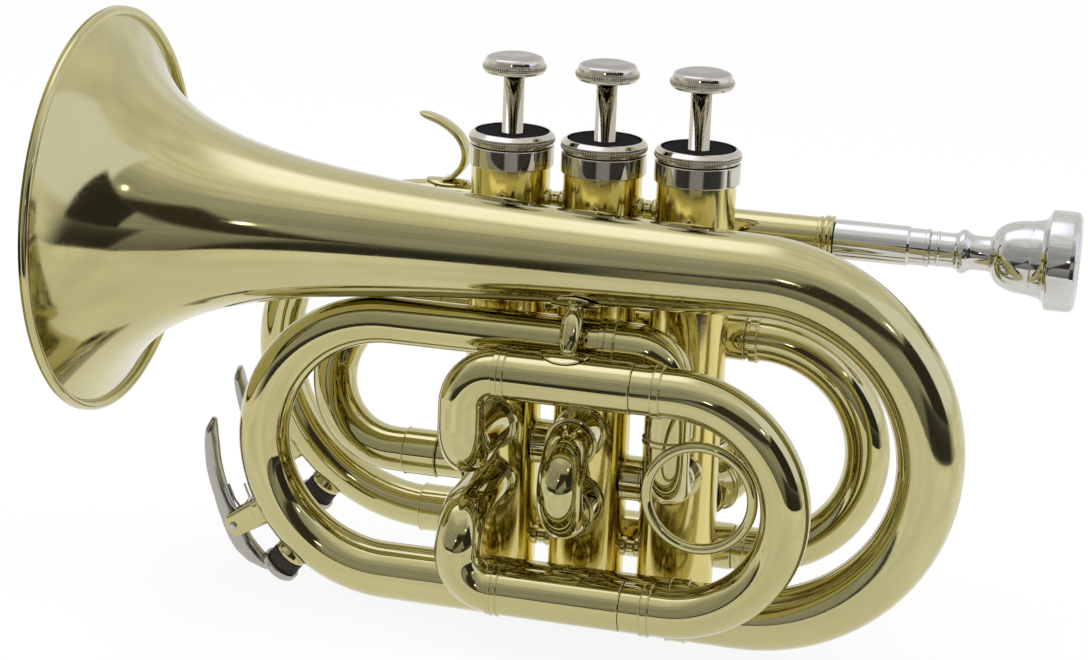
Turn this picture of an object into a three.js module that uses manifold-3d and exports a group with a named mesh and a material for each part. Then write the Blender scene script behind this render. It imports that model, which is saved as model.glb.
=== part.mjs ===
// A pocket trumpet in B flat: three piston valves, tubes wrapped into a short block, bell to the left.
// Millimetres. +X towards the player's mouth, +Z up along the valves, +Y to the player's right.
// The origin is on the middle valve's axis, halfway up the casings, where the left hand grips them.
import * as THREE from "three";
import { mergeVertices } from "three/addons/utils/BufferGeometryUtils.js";
import Module from "manifold-3d";

const wasm = await Module();
wasm.setup();

// Tubing
const boreDiameter = 11.7;
const tubeDiameter = 12.7;
const sleeveDiameter = 13.5;
const sleeveWall = 0.45;
const innerLegWall = 0.5;
const slideClearance = 0.3;
const jointGap = 0.3;
const ferruleDiameter = 14.2;
const ferruleLength = 2.6;
const cutOverrun = 1.5;

// Where the tubes run: depth planes (Y) and heights (Z)
const bellDepth = -26.6;
const thirdSlideDepth = -42.4;
const leadpipeDepth = 18;
const bellHeight = 39;
const leadpipeHeight = 39.7;
const bellReturnHeight = -57.2;
const tailLegHeight = 16;
const crossoverHeight = 8.8;
const returnLegHeight = -54.6;
const thirdSlideUpperHeight = 8.2;
const thirdSlideLowerHeight = -52.4;

// Valve block
const valveSpacing = 26;
const casingDiameter = 21.7;
const casingWall = 1.6;
const casingLength = 124;
const collarDiameter = 23.4;
const collarLength = 5.5;
const pistonStroke = 16;
const pistonBottomHeight = -39;
const pistonShoulderHeight = 9;
const passageDiameter = 9.6;
const barrelWall = 1.1;
const barrelRecess = 1.3;
const barrelTopThickness = 2.2;
const stemDiameter = 5.8;
const stopFeltThickness = 1.6;
const guideThickness = 2.6;
const guideLugWidth = 3.6;
const guideSeatDepth = 0.8;
const springWire = 0.9;
const springTurns = 8;
const springRunOut = 2.4;
const upperPortHeight = -15.5;
const lowerPortHeight = -32.5;
const shortUpperPortHeight = -14.9;
const shortLowerPortHeight = -35.1;
const inletPortHeight = -30.7;
const interportLowHeight = -30.7;
const interportHighHeight = -23;
const tailPortHeight = -24;
const portCollarDiameter = 15;
const portCollarLength = 1.5;
const sleeveEndLength = 1.6;

// Valve caps and buttons
const topCapDiameter = 23.8;
const topCapHeight = 3.8;
const topCapRidge = 1.5;
const topCapLipDiameter = 21.2;
const capSkirtLength = 3.6;
const capSkirtWall = 1;
const feltDiameter = 19.8;
const feltThickness = 1.9;
const feltDrop = 0.5;
const buttonDiameter = 17.6;
const buttonFootDiameter = 16.6;
const buttonTopDiameter = 14.6;
const buttonThickness = 5.3;
const buttonFootHeight = 1.1;
const buttonRidgeHeight = 1.95;
const buttonSocketDepth = 2.4;
const buttonBossDiameter = 8.4;
const buttonDish = 0.7;
const bottomCapDiameter = 23;
const bottomCapHeight = 4.4;
const bottomCapDome = 2.6;
const bottomCapNubDiameter = 6;
const bottomCapWall = 1.2;

// Spools that brace the casings
const spoolDiameter = 3.4;
const spoolFlangeDiameter = 5.4;
const spoolFlangeLength = 0.9;
const upperSpoolDrop = 14.5;
const lowerSpoolRise = 10.5;

// Bell
const rimX = -133.7;
const bellRadius = 56.1;
const flareOffset = 20.2;
const throatRadius = 6;
const bellWall = 0.9;
const rimBeadRadius = 1.2;
const bellBowX = 49;
const bellBowMiddleDiameter = 17.6;
const bellBowEndDiameter = 16.5;
const tailBowX = -51;
const tailBowStartDiameter = 15.9;
const tailBowMiddleDiameter = 14.3;
const tailLegDiameter = 12.9;
const bellReturnJointX = 30;
const tailFerruleX = 8.3;
const tailElbowRadius = 10.4;
const tailDropX = 27.2;
const tailSleeveBottomHeight = -9.6;
const tailHookRadius = 9.6;

// Mouthpiece and receiver
const mouthpieceTipX = 64;
const receiverStartX = 62.3;
const receiverStepX = 82.4;
const receiverMouthX = 88.3;
const receiverDiameter = 10.9;
const receiverStepDiameter = 10.1;
const shankDiameter = 9.45;
const shankTipDiameter = 8.2;
const shankMouthDiameter = 8.8;
const beadX = 97.4;
const beadDiameter = 12.1;
const beadHalfLength = 1.5;
const neckX = 100.6;
const neckDiameter = 9.4;
const cupBackX = 105.2;
const cupBackDiameter = 10.4;
const cupDiameter = 20.2;
const cupShoulderX = 116;
const waistX = 118.6;
const waistDiameter = 21.6;
const rimBackX = 120.3;
const mouthpieceRimDiameter = 27.3;
const mouthpieceFaceX = 128.4;
const rimEdgeRadius = 2.2;
const cupMouthDiameter = 16.4;
const cupDepth = 11;
const throatBore = 3.7;
const backboreDiameter = 7;
const leadpipeDiameter = 11.2;
const leadpipeWall = 0.8;
const leadpipeRingDiameter = 12.6;
const leadpipeRingLength = 1.3;

// Front bow, crossover, inner bow and tuning slide
const frontBowX = -51.8;
const frontBowSleeveLength = 7;
const innerBowX = -57;
const innerBowFerruleX = -54;
const innerBowFerruleLength = 10;
const tuningBowX = 44.2;
const tuningSleeveEndX = 39.6;
const tuningSleeveLength = 46;
const tuningInnerLength = 36;

// Third slide with its finger ring
const knuckleRadius = 9.8;
const thirdKnuckleDropX = -26;
const thirdSleeveEndX = 18.6;
const thirdBowX = 29.7;
const thirdCrookDiameter = 13.2;
const thirdFerruleX = 24.7;
const thirdInnerLength = 31;
const fingerRingDiameter = 31.2;
const fingerRingWire = 2.9;
const fingerRingRise = 2.8;

// First and second slides
const shortSleeveLengths = { 1: 7.2, 2: 11.4 };
const shortInnerLengths = { 1: 7, 2: 10.5 };
const shortBowDiameter = 12.6;
const secondSlideX = -0.6;
const firstSlideTurn = 61;

// Bell brace, pinky hook, leadpipe brace
const braceX = 1.4;
const braceSpindleDiameter = 6.6;
const braceEndDiameter = 3.4;
const braceNeckShare = 0.16;
const braceFlangeLength = 13.4;
const braceFlangeWidth = 4.6;
const braceFlangeThickness = 0.8;
const hookWidth = 6.4;
const hookFootX = -49.2;
const hookFootLength = 13;
const hookShape = [[-1, 0], [1.9, 1.2], [4.6, 4.6], [5, 8.8], [2.7, 13], [-2.2, 16.4], [-9, 18.6]];
const hookThicknesses = [0.9, 1.8, 2.2, 2.2, 2.2, 2.2, 2.2, 2.1, 1.8];
const leadpipeBraceDiameter = 5;

// Water keys
const keyTipAngles = { tail: 177.5, front: 189.5 };
const keyPivotAngles = { tail: 212.2, front: 217.5 };
const keyNippleAngles = { tail: 231.3, front: 233.2 };
const tailKeyTubeRadius = 7.5;
const saddleWidth = 8.4;
const saddleFootLength = 7;
const saddleTopLength = 3.6;
const saddleFootThickness = 1.3;
const saddleEarThickness = 1.3;
const saddleTopShare = 0.75;
const pivotStandOff = 8.6;
const pivotPinDiameter = 1.8;
const pinHeadDiameter = 3.2;
const pinHeadLength = 0.9;
const leverWidth = 4.2;
const leverPaddleWidth = 6.4;
const leverPaddleShare = 1.5;
const leverShares = [0, 0.065, 0.16, 0.29, 0.44, 0.57, 0.645, 0.7, 0.77, 0.855, 0.93, 1];
const leverRises = [7.6, 8.3, 8.5, 8.8, 8.9, 9.1, 9.1, 9.4, 10, 9.7, 9, 8.2];
const leverHeights = [1.3, 2.8, 3.6, 3.8, 3.8, 4.4, 5, 5.2, 4.8, 4.3, 3, 1.2];
const nippleDiameter = 10;
const nippleHeight = 1.4;
const nippleBore = 3.2;
const corkDiameter = 9.6;
const corkThickness = 5.2;
const keyCupDiameter = 11.2;
const keyCupDepth = 1.7;
const keyCupFloor = 1.1;

// Facets
const bellSides = 24;
const valveSides = 16;
const tubeSides = 10;
const passageSides = 8;
const rodSides = 8;
const wireSides = 6;
const ringSteps = 20;
const coilSides = 4;
const coilSteps = 7;
const bendStepDegrees = 22.5;
const tightStepDegrees = 30;

const xAxis = new THREE.Vector3(1, 0, 0);
const yAxis = new THREE.Vector3(0, 1, 0);
const zAxis = new THREE.Vector3(0, 0, 1);

const brass = { color: 0xd6c27a, roughness: 0.14, metalness: 1 };
const nickel = { color: 0xcfccc4, roughness: 0.16, metalness: 1 };
const steel = { color: 0xb9bbbd, roughness: 0.3, metalness: 1 };
const felt = { color: 0x0b0b0c, roughness: 0.95, metalness: 0 };
const cork = { color: 0x4a3a26, roughness: 0.9, metalness: 0 };

const trumpet = new THREE.Group();

// A geometry as a solid that can be joined and cut, and a solid as a geometry again.
function toSolid(geometry) {
  const bare = geometry.clone();
  bare.deleteAttribute("normal");
  bare.deleteAttribute("uv");
  const merged = mergeVertices(bare);
  return new wasm.Manifold(
    new wasm.Mesh({
      numProp: 3,
      vertProperties: merged.attributes.position.array,
      triVerts: new Uint32Array(merged.index.array),
    }),
  );
}

function toGeometry(solid) {
  const mesh = solid.getMesh();
  const geometry = new THREE.BufferGeometry();
  geometry.setAttribute("position", new THREE.BufferAttribute(mesh.vertProperties, 3));
  geometry.setIndex(new THREE.BufferAttribute(mesh.triVerts, 1));
  return geometry;
}

function joined(...geometries) {
  return toGeometry(geometries.map(toSolid).reduce((sum, next) => sum.add(next)));
}

function cut(geometry, ...tools) {
  return toGeometry(tools.map(toSolid).reduce((rest, tool) => rest.subtract(tool), toSolid(geometry)));
}

function addPiece(name, geometry, finish, parent = trumpet) {
  const mesh = new THREE.Mesh(geometry, new THREE.MeshStandardMaterial(finish));
  mesh.name = name;
  parent.add(mesh);
  return mesh;
}

// A route that a tube's centre line follows, laid down piece by piece.
class Route {
  constructor(point, direction) {
    this.point = point.clone();
    this.direction = direction.clone().normalize();
    this.stretches = [];
    this.length = 0;
  }

  straight(length) {
    const from = this.point.clone();
    const along = this.direction.clone();
    this.stretches.push({ length, steps: 1, at: (d) => [from.clone().addScaledVector(along, d), along.clone()] });
    this.point.addScaledVector(along, length);
    this.length += length;
    return this;
  }

  bend(toward, radius, degrees, stepDegrees = bendStepDegrees) {
    const side = toward.clone().normalize();
    const along = this.direction.clone();
    const centre = this.point.clone().addScaledVector(side, radius);
    const angle = THREE.MathUtils.degToRad(degrees);
    const at = (d) => {
      const a = d / radius;
      const point = centre.clone().addScaledVector(side, -radius * Math.cos(a));
      point.addScaledVector(along, radius * Math.sin(a));
      const direction = along.clone().multiplyScalar(Math.cos(a)).addScaledVector(side, Math.sin(a));
      return [point, direction];
    };
    const length = radius * angle;
    this.stretches.push({ length, steps: Math.max(1, Math.round(degrees / stepDegrees)), at });
    [this.point, this.direction] = at(length);
    this.length += length;
    return this;
  }

  at(distance) {
    let rest = distance;
    for (const [i, stretch] of this.stretches.entries()) {
      if (rest <= stretch.length || i === this.stretches.length - 1) return stretch.at(rest);
      rest -= stretch.length;
    }
    return null;
  }

  // The distances where a tube along the route needs a ring.
  marks() {
    const marks = [0];
    let start = 0;
    for (const stretch of this.stretches) {
      for (let i = 1; i <= stretch.steps; i++) marks.push(start + (stretch.length * i) / stretch.steps);
      start += stretch.length;
    }
    return marks;
  }
}

// A profile is a list of [distance, radius]; between its points the radius changes evenly.
function radiusOn(profile, distance) {
  for (let i = 1; i < profile.length; i++) {
    const [d0, r0] = profile[i - 1];
    const [d1, r1] = profile[i];
    if (distance <= d1 && d1 > d0) return r0 + ((r1 - r0) * (distance - d0)) / (d1 - d0);
  }
  return profile.at(-1)[1];
}

function ringStations(route, profile) {
  const stations = profile.map(([d, r]) => [d, r]);
  const first = profile[0][0];
  const last = profile.at(-1)[0];
  const near = Math.abs(last - first) / 1000;
  for (const d of route.marks()) {
    const inside = d > first + near && d < last - near;
    if (inside && stations.every(([e]) => Math.abs(e - d) > near)) stations.push([d, radiusOn(profile, d)]);
  }
  return stations.map((s, i) => [...s, i]).sort((a, b) => a[0] - b[0] || a[2] - b[2]);
}

function ringsAlong(route, profile, sides, reference) {
  let across = reference.clone();
  return ringStations(route, profile).map(([distance, radius]) => {
    const [centre, along] = route.at(distance);
    across.addScaledVector(along, -across.dot(along)).normalize();
    const other = along.clone().cross(across);
    const ring = [];
    for (let j = 0; j < sides; j++) {
      const a = (2 * Math.PI * j) / sides;
      const point = centre.clone().addScaledVector(across, radius * Math.cos(a));
      ring.push(point.addScaledVector(other, radius * Math.sin(a)));
    }
    return ring;
  });
}

// Rings of points skinned into one closed surface: a hollow wall if closed, else a solid with flat ends.
function skin(rings, closed) {
  const sides = rings[0].length;
  const positions = [];
  const index = [];
  rings.forEach((ring) => ring.forEach((p) => positions.push(p.x, p.y, p.z)));
  const spans = closed ? rings.length : rings.length - 1;
  for (let i = 0; i < spans; i++) {
    const here = i * sides;
    const next = ((i + 1) % rings.length) * sides;
    for (let j = 0; j < sides; j++) {
      const k = (j + 1) % sides;
      index.push(here + j, here + k, next + k, here + j, next + k, next + j);
    }
  }
  if (!closed) {
    const end = (rings.length - 1) * sides;
    for (let j = 1; j < sides - 1; j++) {
      index.push(0, j + 1, j);
      index.push(end, end + j, end + j + 1);
    }
  }
  const geometry = new THREE.BufferGeometry();
  geometry.setAttribute("position", new THREE.Float32BufferAttribute(positions, 3));
  geometry.setIndex(index);
  return geometry;
}

// A pipe along a route: outer and inner are profiles, or plain radii.
function pipe(route, outer, inner, sides = tubeSides, reference = yAxis) {
  const full = (wall) => (typeof wall === "number" ? [[0, wall], [route.length, wall]] : wall);
  const outside = ringsAlong(route, full(outer), sides, reference);
  const inside = ringsAlong(route, full(inner), sides, reference);
  return skin([...outside, ...inside.reverse()], true);
}

function rod(route, outer, sides = rodSides, reference = yAxis) {
  const full = typeof outer === "number" ? [[0, outer], [route.length, outer]] : outer;
  return skin(ringsAlong(route, full, sides, reference), false);
}

function straightRod(from, direction, length, radius, sides = rodSides) {
  const reference = Math.abs(direction.y) > Math.abs(direction.z) ? zAxis : yAxis;
  return rod(new Route(from, direction).straight(length), radius, sides, reference);
}

function straightPipe(from, direction, length, outer, inner, sides = tubeSides) {
  const reference = Math.abs(direction.y) > Math.abs(direction.z) ? zAxis : yAxis;
  return pipe(new Route(from, direction).straight(length), outer, inner, sides, reference);
}

// A turned piece: outline points are [distance along the axis, radius].
function turned(outline, sides, axis = "z") {
  const points = outline.map(([along, radius]) => new THREE.Vector2(radius, along));
  const geometry = new THREE.LatheGeometry(points, sides);
  if (axis === "z") geometry.rotateX(Math.PI / 2);
  if (axis === "x") geometry.rotateZ(-Math.PI / 2);
  return toGeometry(toSolid(geometry));
}

function arcPoints(centreAlong, centreRadius, radius, fromDegrees, toDegrees, steps) {
  const points = [];
  for (let i = 0; i <= steps; i++) {
    const a = THREE.MathUtils.degToRad(fromDegrees + ((toDegrees - fromDegrees) * i) / steps);
    points.push([centreAlong + radius * Math.sin(a), centreRadius + radius * Math.cos(a)]);
  }
  return points;
}

const casingRadius = casingDiameter / 2;
const casingTop = casingLength / 2;
const casingBottom = -casingLength / 2;
const casingBore = casingRadius - casingWall;
const sleeveRadius = sleeveDiameter / 2;
const sleeveBore = sleeveRadius - sleeveWall;
const innerLegRadius = sleeveBore - slideClearance;
const innerLegBore = innerLegRadius - innerLegWall;
const tubeRadius = tubeDiameter / 2;
const boreRadius = boreDiameter / 2;
const ferruleRadius = ferruleDiameter / 2;
const valveX = { 1: valveSpacing, 2: 0, 3: -valveSpacing };
const firstSlideWay = xAxis.clone().applyAxisAngle(zAxis, THREE.MathUtils.degToRad(firstSlideTurn));
const nearWay = yAxis.clone().negate();
const leftWay = xAxis.clone().negate();
const downWay = zAxis.clone().negate();

// Each valve's ports: where a tube meets the casing, and the way it leaves.
const ports = {
  1: [
    { height: interportLowHeight, way: leftWay },
    { height: tailPortHeight, way: nearWay, shift: tailDropX - valveX[1] },
    { height: shortUpperPortHeight, way: firstSlideWay, sleeve: shortSleeveLengths[1] },
    { height: shortLowerPortHeight, way: firstSlideWay, sleeve: shortSleeveLengths[1] },
  ],
  2: [
    { height: interportHighHeight, way: leftWay },
    { height: interportLowHeight, way: xAxis },
    { height: shortUpperPortHeight, way: nearWay, shift: secondSlideX, sleeve: shortSleeveLengths[2] },
    { height: shortLowerPortHeight, way: nearWay, shift: secondSlideX, sleeve: shortSleeveLengths[2] },
  ],
  3: [
    { height: inletPortHeight, way: leftWay },
    { height: interportHighHeight, way: xAxis },
    { height: upperPortHeight, way: nearWay },
    { height: lowerPortHeight, way: nearWay },
  ],
};

// The passages drilled through each piston: the straight one at rest, and the two that the slide needs,
// which lie one stroke higher and come down to the ports when the button is pressed.
const passages = {
  1: [[0, 1], [0, 3, pistonStroke], [2, 1, pistonStroke]],
  2: [[0, 1], [0, 2, pistonStroke], [3, 1, pistonStroke]],
  3: [[0, 1], [0, 3, pistonStroke], [2, 1, pistonStroke]],
};

function portAxis(port, x) {
  const start = new THREE.Vector3(x, 0, port.height);
  if (port.shift) start.x += port.shift;
  return start;
}

function casing(number) {
  const x = valveX[number];
  const collar = collarDiameter / 2;
  const body = turned(
    [
      [casingBottom, casingBore],
      [casingBottom, casingRadius],
      [casingTop - collarLength, casingRadius],
      [casingTop - collarLength, collar],
      [casingTop, collar],
      [casingTop, casingBore],
      [casingBottom, casingBore],
    ],
    valveSides,
  );
  body.translate(x, 0, 0);
  let shell = toSolid(body);
  const core = turned(
    [[casingBottom, 0], [casingBottom, casingBore], [casingTop, casingBore], [casingTop, 0]],
    valveSides,
  ).translate(x, 0, 0);
  for (const port of ports[number]) {
    const start = portAxis(port, x);
    if (port.sleeve) {
      const reach = casingRadius + port.sleeve;
      shell = shell.add(toSolid(straightRod(start, port.way, reach, sleeveRadius, tubeSides)));
      const collarReach = casingRadius + portCollarLength;
      const collarRod = straightRod(start, port.way, collarReach, portCollarDiameter / 2, tubeSides);
      const endStart = start.clone().addScaledVector(port.way, reach - sleeveEndLength);
      const endRod = straightRod(endStart, port.way, sleeveEndLength, ferruleRadius, tubeSides);
      shell = shell.add(toSolid(collarRod)).add(toSolid(endRod));
    }
  }
  if (x) {
    const between = (Math.sign(x) * valveSpacing) / 2;
    shell = shell.add(spool(between, casingTop - upperSpoolDrop));
    shell = shell.add(spool(between, casingBottom + lowerSpoolRise));
  }
  if (number === 3) {
    const stubStart = innerBowFerruleX + innerBowFerruleLength + jointGap;
    const from = new THREE.Vector3(stubStart, 0, inletPortHeight);
    shell = shell.add(toSolid(straightRod(from, xAxis, x - stubStart, tubeRadius, tubeSides)));
  }
  shell = shell.subtract(toSolid(core));
  for (const port of ports[number]) {
    const radius = port.sleeve ? sleeveBore : boreRadius;
    const reach = casingRadius + (port.sleeve ?? portCollarLength) + cutOverrun;
    shell = shell.subtract(toSolid(straightRod(portAxis(port, x), port.way, reach, radius, tubeSides)));
  }
  addPiece(`casing_${number}`, toGeometry(shell), brass);
}

// Piston: ported body, hollow spring barrel with two slots for the guide, and the stem.
const pistonRadius = casingBore - slideClearance;
const barrelRadius = pistonRadius - barrelRecess;
const barrelBore = barrelRadius - barrelWall;
const capUnderside = casingTop + jointGap;
const barrelTop = capUnderside - stopFeltThickness - jointGap;
const buttonUnderside = casingTop + jointGap + topCapHeight - feltDrop + pistonStroke;
const stemTop = buttonUnderside + buttonSocketDepth;
const guideHeight = pistonShoulderHeight + guideSeatDepth;
const slotHeight = pistonStroke + guideThickness + 2 * jointGap;

function passageTool(from, to, x, rise) {
  const middle = new THREE.Vector3(x, 0, (from.height + to.height) / 2 + rise);
  const legs = [from, to].map((port) => {
    const wall = new THREE.Vector3(x, 0, port.height + rise).addScaledVector(port.way, casingBore);
    const way = wall.clone().sub(middle);
    const reach = way.length() + cutOverrun;
    return toSolid(straightRod(middle, way.normalize(), reach, passageDiameter / 2, passageSides));
  });
  const elbow = new THREE.SphereGeometry(passageDiameter / 2, passageSides, passageSides / 2);
  elbow.translate(middle.x, middle.y, middle.z);
  return legs[0].add(legs[1]).add(toSolid(elbow));
}

function piston(number) {
  const x = valveX[number];
  const stem = stemDiameter / 2;
  const bodyTurned = turned(
    [
      [pistonBottomHeight, 0],
      [pistonBottomHeight, pistonRadius],
      [pistonShoulderHeight, pistonRadius],
      [pistonShoulderHeight, barrelRadius],
      [barrelTop, barrelRadius],
      [barrelTop, stem],
      [stemTop, stem],
      [stemTop, 0],
    ],
    valveSides,
  ).translate(x, 0, 0);
  let body = toSolid(bodyTurned);
  const hollowTop = barrelTop - barrelTopThickness;
  const hollow = turned(
    [
      [pistonShoulderHeight, 0],
      [pistonShoulderHeight, barrelBore],
      [hollowTop, barrelBore],
      [hollowTop, 0],
    ],
    valveSides,
  ).translate(x, 0, 0);
  body = body.subtract(toSolid(hollow));
  const slotWidth = guideLugWidth + 2 * jointGap;
  const slot = new THREE.BoxGeometry(slotWidth, casingDiameter, slotHeight);
  slot.translate(x, 0, guideHeight - jointGap + slotHeight / 2);
  body = body.subtract(toSolid(slot));
  for (const [a, b, rise = 0] of passages[number]) {
    body = body.subtract(passageTool(ports[number][a], ports[number][b], x, rise));
  }
  addPiece(`piston_${number}`, toGeometry(body), nickel);
}

// The guide sits in the barrel on two lugs that reach the casing wall, and carries the spring.
function valveGuide(number) {
  const x = valveX[number];
  const disc = turned(
    [
      [guideHeight, stemDiameter / 2],
      [guideHeight, barrelBore - jointGap],
      [guideHeight + guideThickness, barrelBore - jointGap],
      [guideHeight + guideThickness, stemDiameter / 2],
      [guideHeight, stemDiameter / 2],
    ],
    rodSides,
  ).translate(x, 0, 0);
  const lugLength = (casingBore - jointGap - stemDiameter / 2);
  const lugs = [1, -1].map((side) => {
    const lug = new THREE.BoxGeometry(guideLugWidth, lugLength, guideThickness);
    lug.translate(x, side * (stemDiameter / 2 + lugLength / 2), guideHeight + guideThickness / 2);
    return lug;
  });
  const reach = turned(
    [
      [guideHeight - cutOverrun, 0],
      [guideHeight - cutOverrun, casingBore - jointGap],
      [guideHeight + guideThickness + cutOverrun, casingBore - jointGap],
      [guideHeight + guideThickness + cutOverrun, 0],
    ],
    valveSides,
  ).translate(x, 0, 0);
  const whole = toSolid(joined(disc, ...lugs)).intersect(toSolid(reach));
  addPiece(`valve_guide_${number}`, toGeometry(whole), nickel);
}

const springCoilRadius = barrelBore - jointGap - springWire;

function spring(number) {
  const bottom = guideHeight + guideThickness + jointGap + springWire / 2;
  const top = barrelTop - barrelTopThickness - jointGap - springWire / 2;
  const steps = springTurns * coilSteps;
  const points = [];
  for (let i = 0; i <= steps; i++) {
    const a = (2 * Math.PI * springTurns * i) / steps;
    const height = bottom + ((top - bottom) * i) / steps;
    const point = new THREE.Vector3(Math.cos(a), Math.sin(a), 0).multiplyScalar(springCoilRadius);
    points.push(point.setZ(height).setX(point.x + valveX[number]));
  }
  const rings = points.map((point, i) => {
    const before = points[Math.max(0, i - 1)];
    const after = points[Math.min(steps, i + 1)];
    const along = after.clone().sub(before).normalize();
    const out = new THREE.Vector3(point.x - valveX[number], point.y, 0).normalize();
    out.addScaledVector(along, -out.dot(along)).normalize();
    const other = along.clone().cross(out);
    const ring = [];
    for (let j = 0; j < coilSides; j++) {
      const a = (2 * Math.PI * j) / coilSides;
      const corner = point.clone().addScaledVector(out, (springWire / 2) * Math.cos(a));
      ring.push(corner.addScaledVector(other, (springWire / 2) * Math.sin(a)));
    }
    return ring;
  });
  addPiece(`valve_spring_${number}`, skin(rings, false), steel);
}

function topCap(number) {
  const base = capUnderside;
  const top = base + topCapHeight;
  const outer = topCapDiameter / 2;
  const lip = topCapLipDiameter / 2;
  const skirt = casingBore - jointGap;
  const hole = stemDiameter / 2 + jointGap;
  const seat = feltDiameter / 2 + jointGap;
  const seatHeight = top - feltThickness - feltDrop - jointGap;
  const cap = turned(
    [
      [base, hole],
      [base, skirt - capSkirtWall],
      [base - capSkirtLength, skirt - capSkirtWall],
      [base - capSkirtLength, skirt],
      [base, skirt],
      [base, outer - topCapRidge / 2],
      [base + topCapRidge / 2, outer],
      [base + topCapRidge, outer],
      [top, lip],
      [top, seat],
      [seatHeight, seat],
      [seatHeight, hole],
      [base, hole],
    ],
    valveSides,
  );
  addPiece(`top_cap_${number}`, cap, nickel).position.x = valveX[number];
  const feltBase = seatHeight + jointGap;
  const pad = turned(
    [
      [feltBase, hole],
      [feltBase, feltDiameter / 2],
      [feltBase + feltThickness, feltDiameter / 2],
      [feltBase + feltThickness, hole],
      [feltBase, hole],
    ],
    valveSides,
  );
  addPiece(`cap_felt_${number}`, pad, felt).position.x = valveX[number];
}

function button(number) {
  const base = buttonUnderside;
  const top = base + buttonThickness;
  const ridge = buttonDiameter / 2;
  const foot = buttonFootDiameter / 2;
  const face = buttonTopDiameter / 2;
  const socket = stemDiameter / 2 + jointGap;
  const boss = buttonBossDiameter / 2;
  const cap = turned(
    [
      [base, socket],
      [base, boss],
      [base, foot],
      [base + buttonFootHeight, foot],
      [base + buttonRidgeHeight - topCapRidge / 2, ridge],
      [base + buttonRidgeHeight + topCapRidge / 2, ridge],
      [top - buttonDish - topCapRidge / 2, face + buttonDish],
      [top - buttonDish, face],
      [top, boss],
      [top, 0],
      [base + buttonSocketDepth + jointGap, 0],
      [base + buttonSocketDepth + jointGap, socket],
      [base, socket],
    ],
    valveSides,
  );
  addPiece(`button_${number}`, cap, nickel).position.x = valveX[number];
}

function bottomCap(number) {
  const base = casingBottom - jointGap;
  const outer = bottomCapDiameter / 2;
  const skirt = casingBore - jointGap;
  const low = base - bottomCapHeight;
  const nub = bottomCapNubDiameter / 2;
  const cap = turned(
    [
      [low - bottomCapDome, 0],
      [low - bottomCapDome, nub],
      [low - bottomCapDome / 2, nub],
      [low - bottomCapDome / 2, skirt],
      [low, outer],
      [base, outer],
      [base, skirt],
      [base + capSkirtLength, skirt],
      [base + capSkirtLength, skirt - bottomCapWall],
      [low, skirt - bottomCapWall],
      [low, 0],
    ],
    valveSides,
  );
  addPiece(`bottom_cap_${number}`, cap, nickel).position.x = valveX[number];
}

// Drawn spools stand between neighbouring casings, on the outer casing's side.
function spool(x, height) {
  const half = valveSpacing / 2;
  const flangeAt = half - casingRadius - jointGap;
  const whole = turned(
    [
      [-half, 0],
      [-half, spoolFlangeDiameter / 2],
      [-flangeAt + spoolFlangeLength, spoolFlangeDiameter / 2],
      [-flangeAt + spoolFlangeLength, spoolDiameter / 2],
      [flangeAt - spoolFlangeLength, spoolDiameter / 2],
      [flangeAt - spoolFlangeLength, spoolFlangeDiameter / 2],
      [half, spoolFlangeDiameter / 2],
      [half, 0],
    ],
    rodSides,
    "x",
  ).translate(x, 0, height);
  return toSolid(cut(whole, ...casingClearance(0)));
}

function casingClearance(x) {
  const radius = casingRadius + jointGap;
  const block = turned(
    [[casingBottom, 0], [casingBottom, radius], [casingTop, radius], [casingTop, 0]],
    valveSides,
  );
  return [block.translate(x, 0, 0)];
}

function interport(name, x, height) {
  const half = valveSpacing / 2;
  const whole = straightRod(
    new THREE.Vector3(x - half, 0, height),
    xAxis,
    valveSpacing,
    tubeRadius,
    tubeSides,
  );
  const hole = straightRod(
    new THREE.Vector3(x - valveSpacing, 0, height),
    xAxis,
    2 * valveSpacing,
    boreRadius,
    tubeSides,
  );
  addPiece(name, cut(whole, ...casingClearance(x - half), ...casingClearance(x + half), hole), brass);
}

// The bell: a flare that widens as one over the distance, with a rolled bead at its rim.
function flareRadius(distanceFromRim) {
  return throatRadius + ((bellRadius - throatRadius) * flareOffset) / (distanceFromRim + flareOffset);
}

const bellLength = bellBowX - rimX;
const flareStationShares = [0.012, 0.03, 0.06, 0.1, 0.16, 0.25, 0.38, 0.55, 0.76, 1];

function bell() {
  const outside = flareStationShares.map((share) => {
    const distance = share * bellLength;
    return [rimX + distance, flareRadius(distance)];
  });
  const beadX = rimX + rimBeadRadius;
  const bead = arcPoints(beadX, bellRadius - rimBeadRadius, rimBeadRadius, -90, 90, 4);
  const first = [rimX, bellRadius - 2 * rimBeadRadius];
  const inside = outside.map(([x, r]) => [x, r - bellWall]).reverse();
  const outline = [first, ...bead, ...outside, ...inside, first];
  const geometry = turned(outline, bellSides, "x");
  addPiece("bell", geometry, brass).position.set(0, bellDepth, bellHeight);
}

const bellBowRadius = (bellHeight - bellReturnHeight) / 2;
const tailBowRadius = (tailLegHeight - bellReturnHeight) / 2;
const bellBowStartRadius = flareRadius(bellLength);

function wallOf(profile, wall) {
  return profile.map(([d, r]) => [d, r - wall]);
}

function bellBow() {
  const start = new THREE.Vector3(bellBowX + jointGap, bellDepth, bellHeight);
  const route = new Route(start, xAxis).bend(downWay, bellBowRadius, 180);
  const arc = route.length;
  route.straight(bellBowX + jointGap - bellReturnJointX);
  const profile = [
    [0, bellBowStartRadius],
    [arc / 2, bellBowMiddleDiameter / 2],
    [route.length, bellBowEndDiameter / 2],
  ];
  addPiece("bell_bow", pipe(route, profile, wallOf(profile, bellWall), tubeSides + 4), brass);
}

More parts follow.
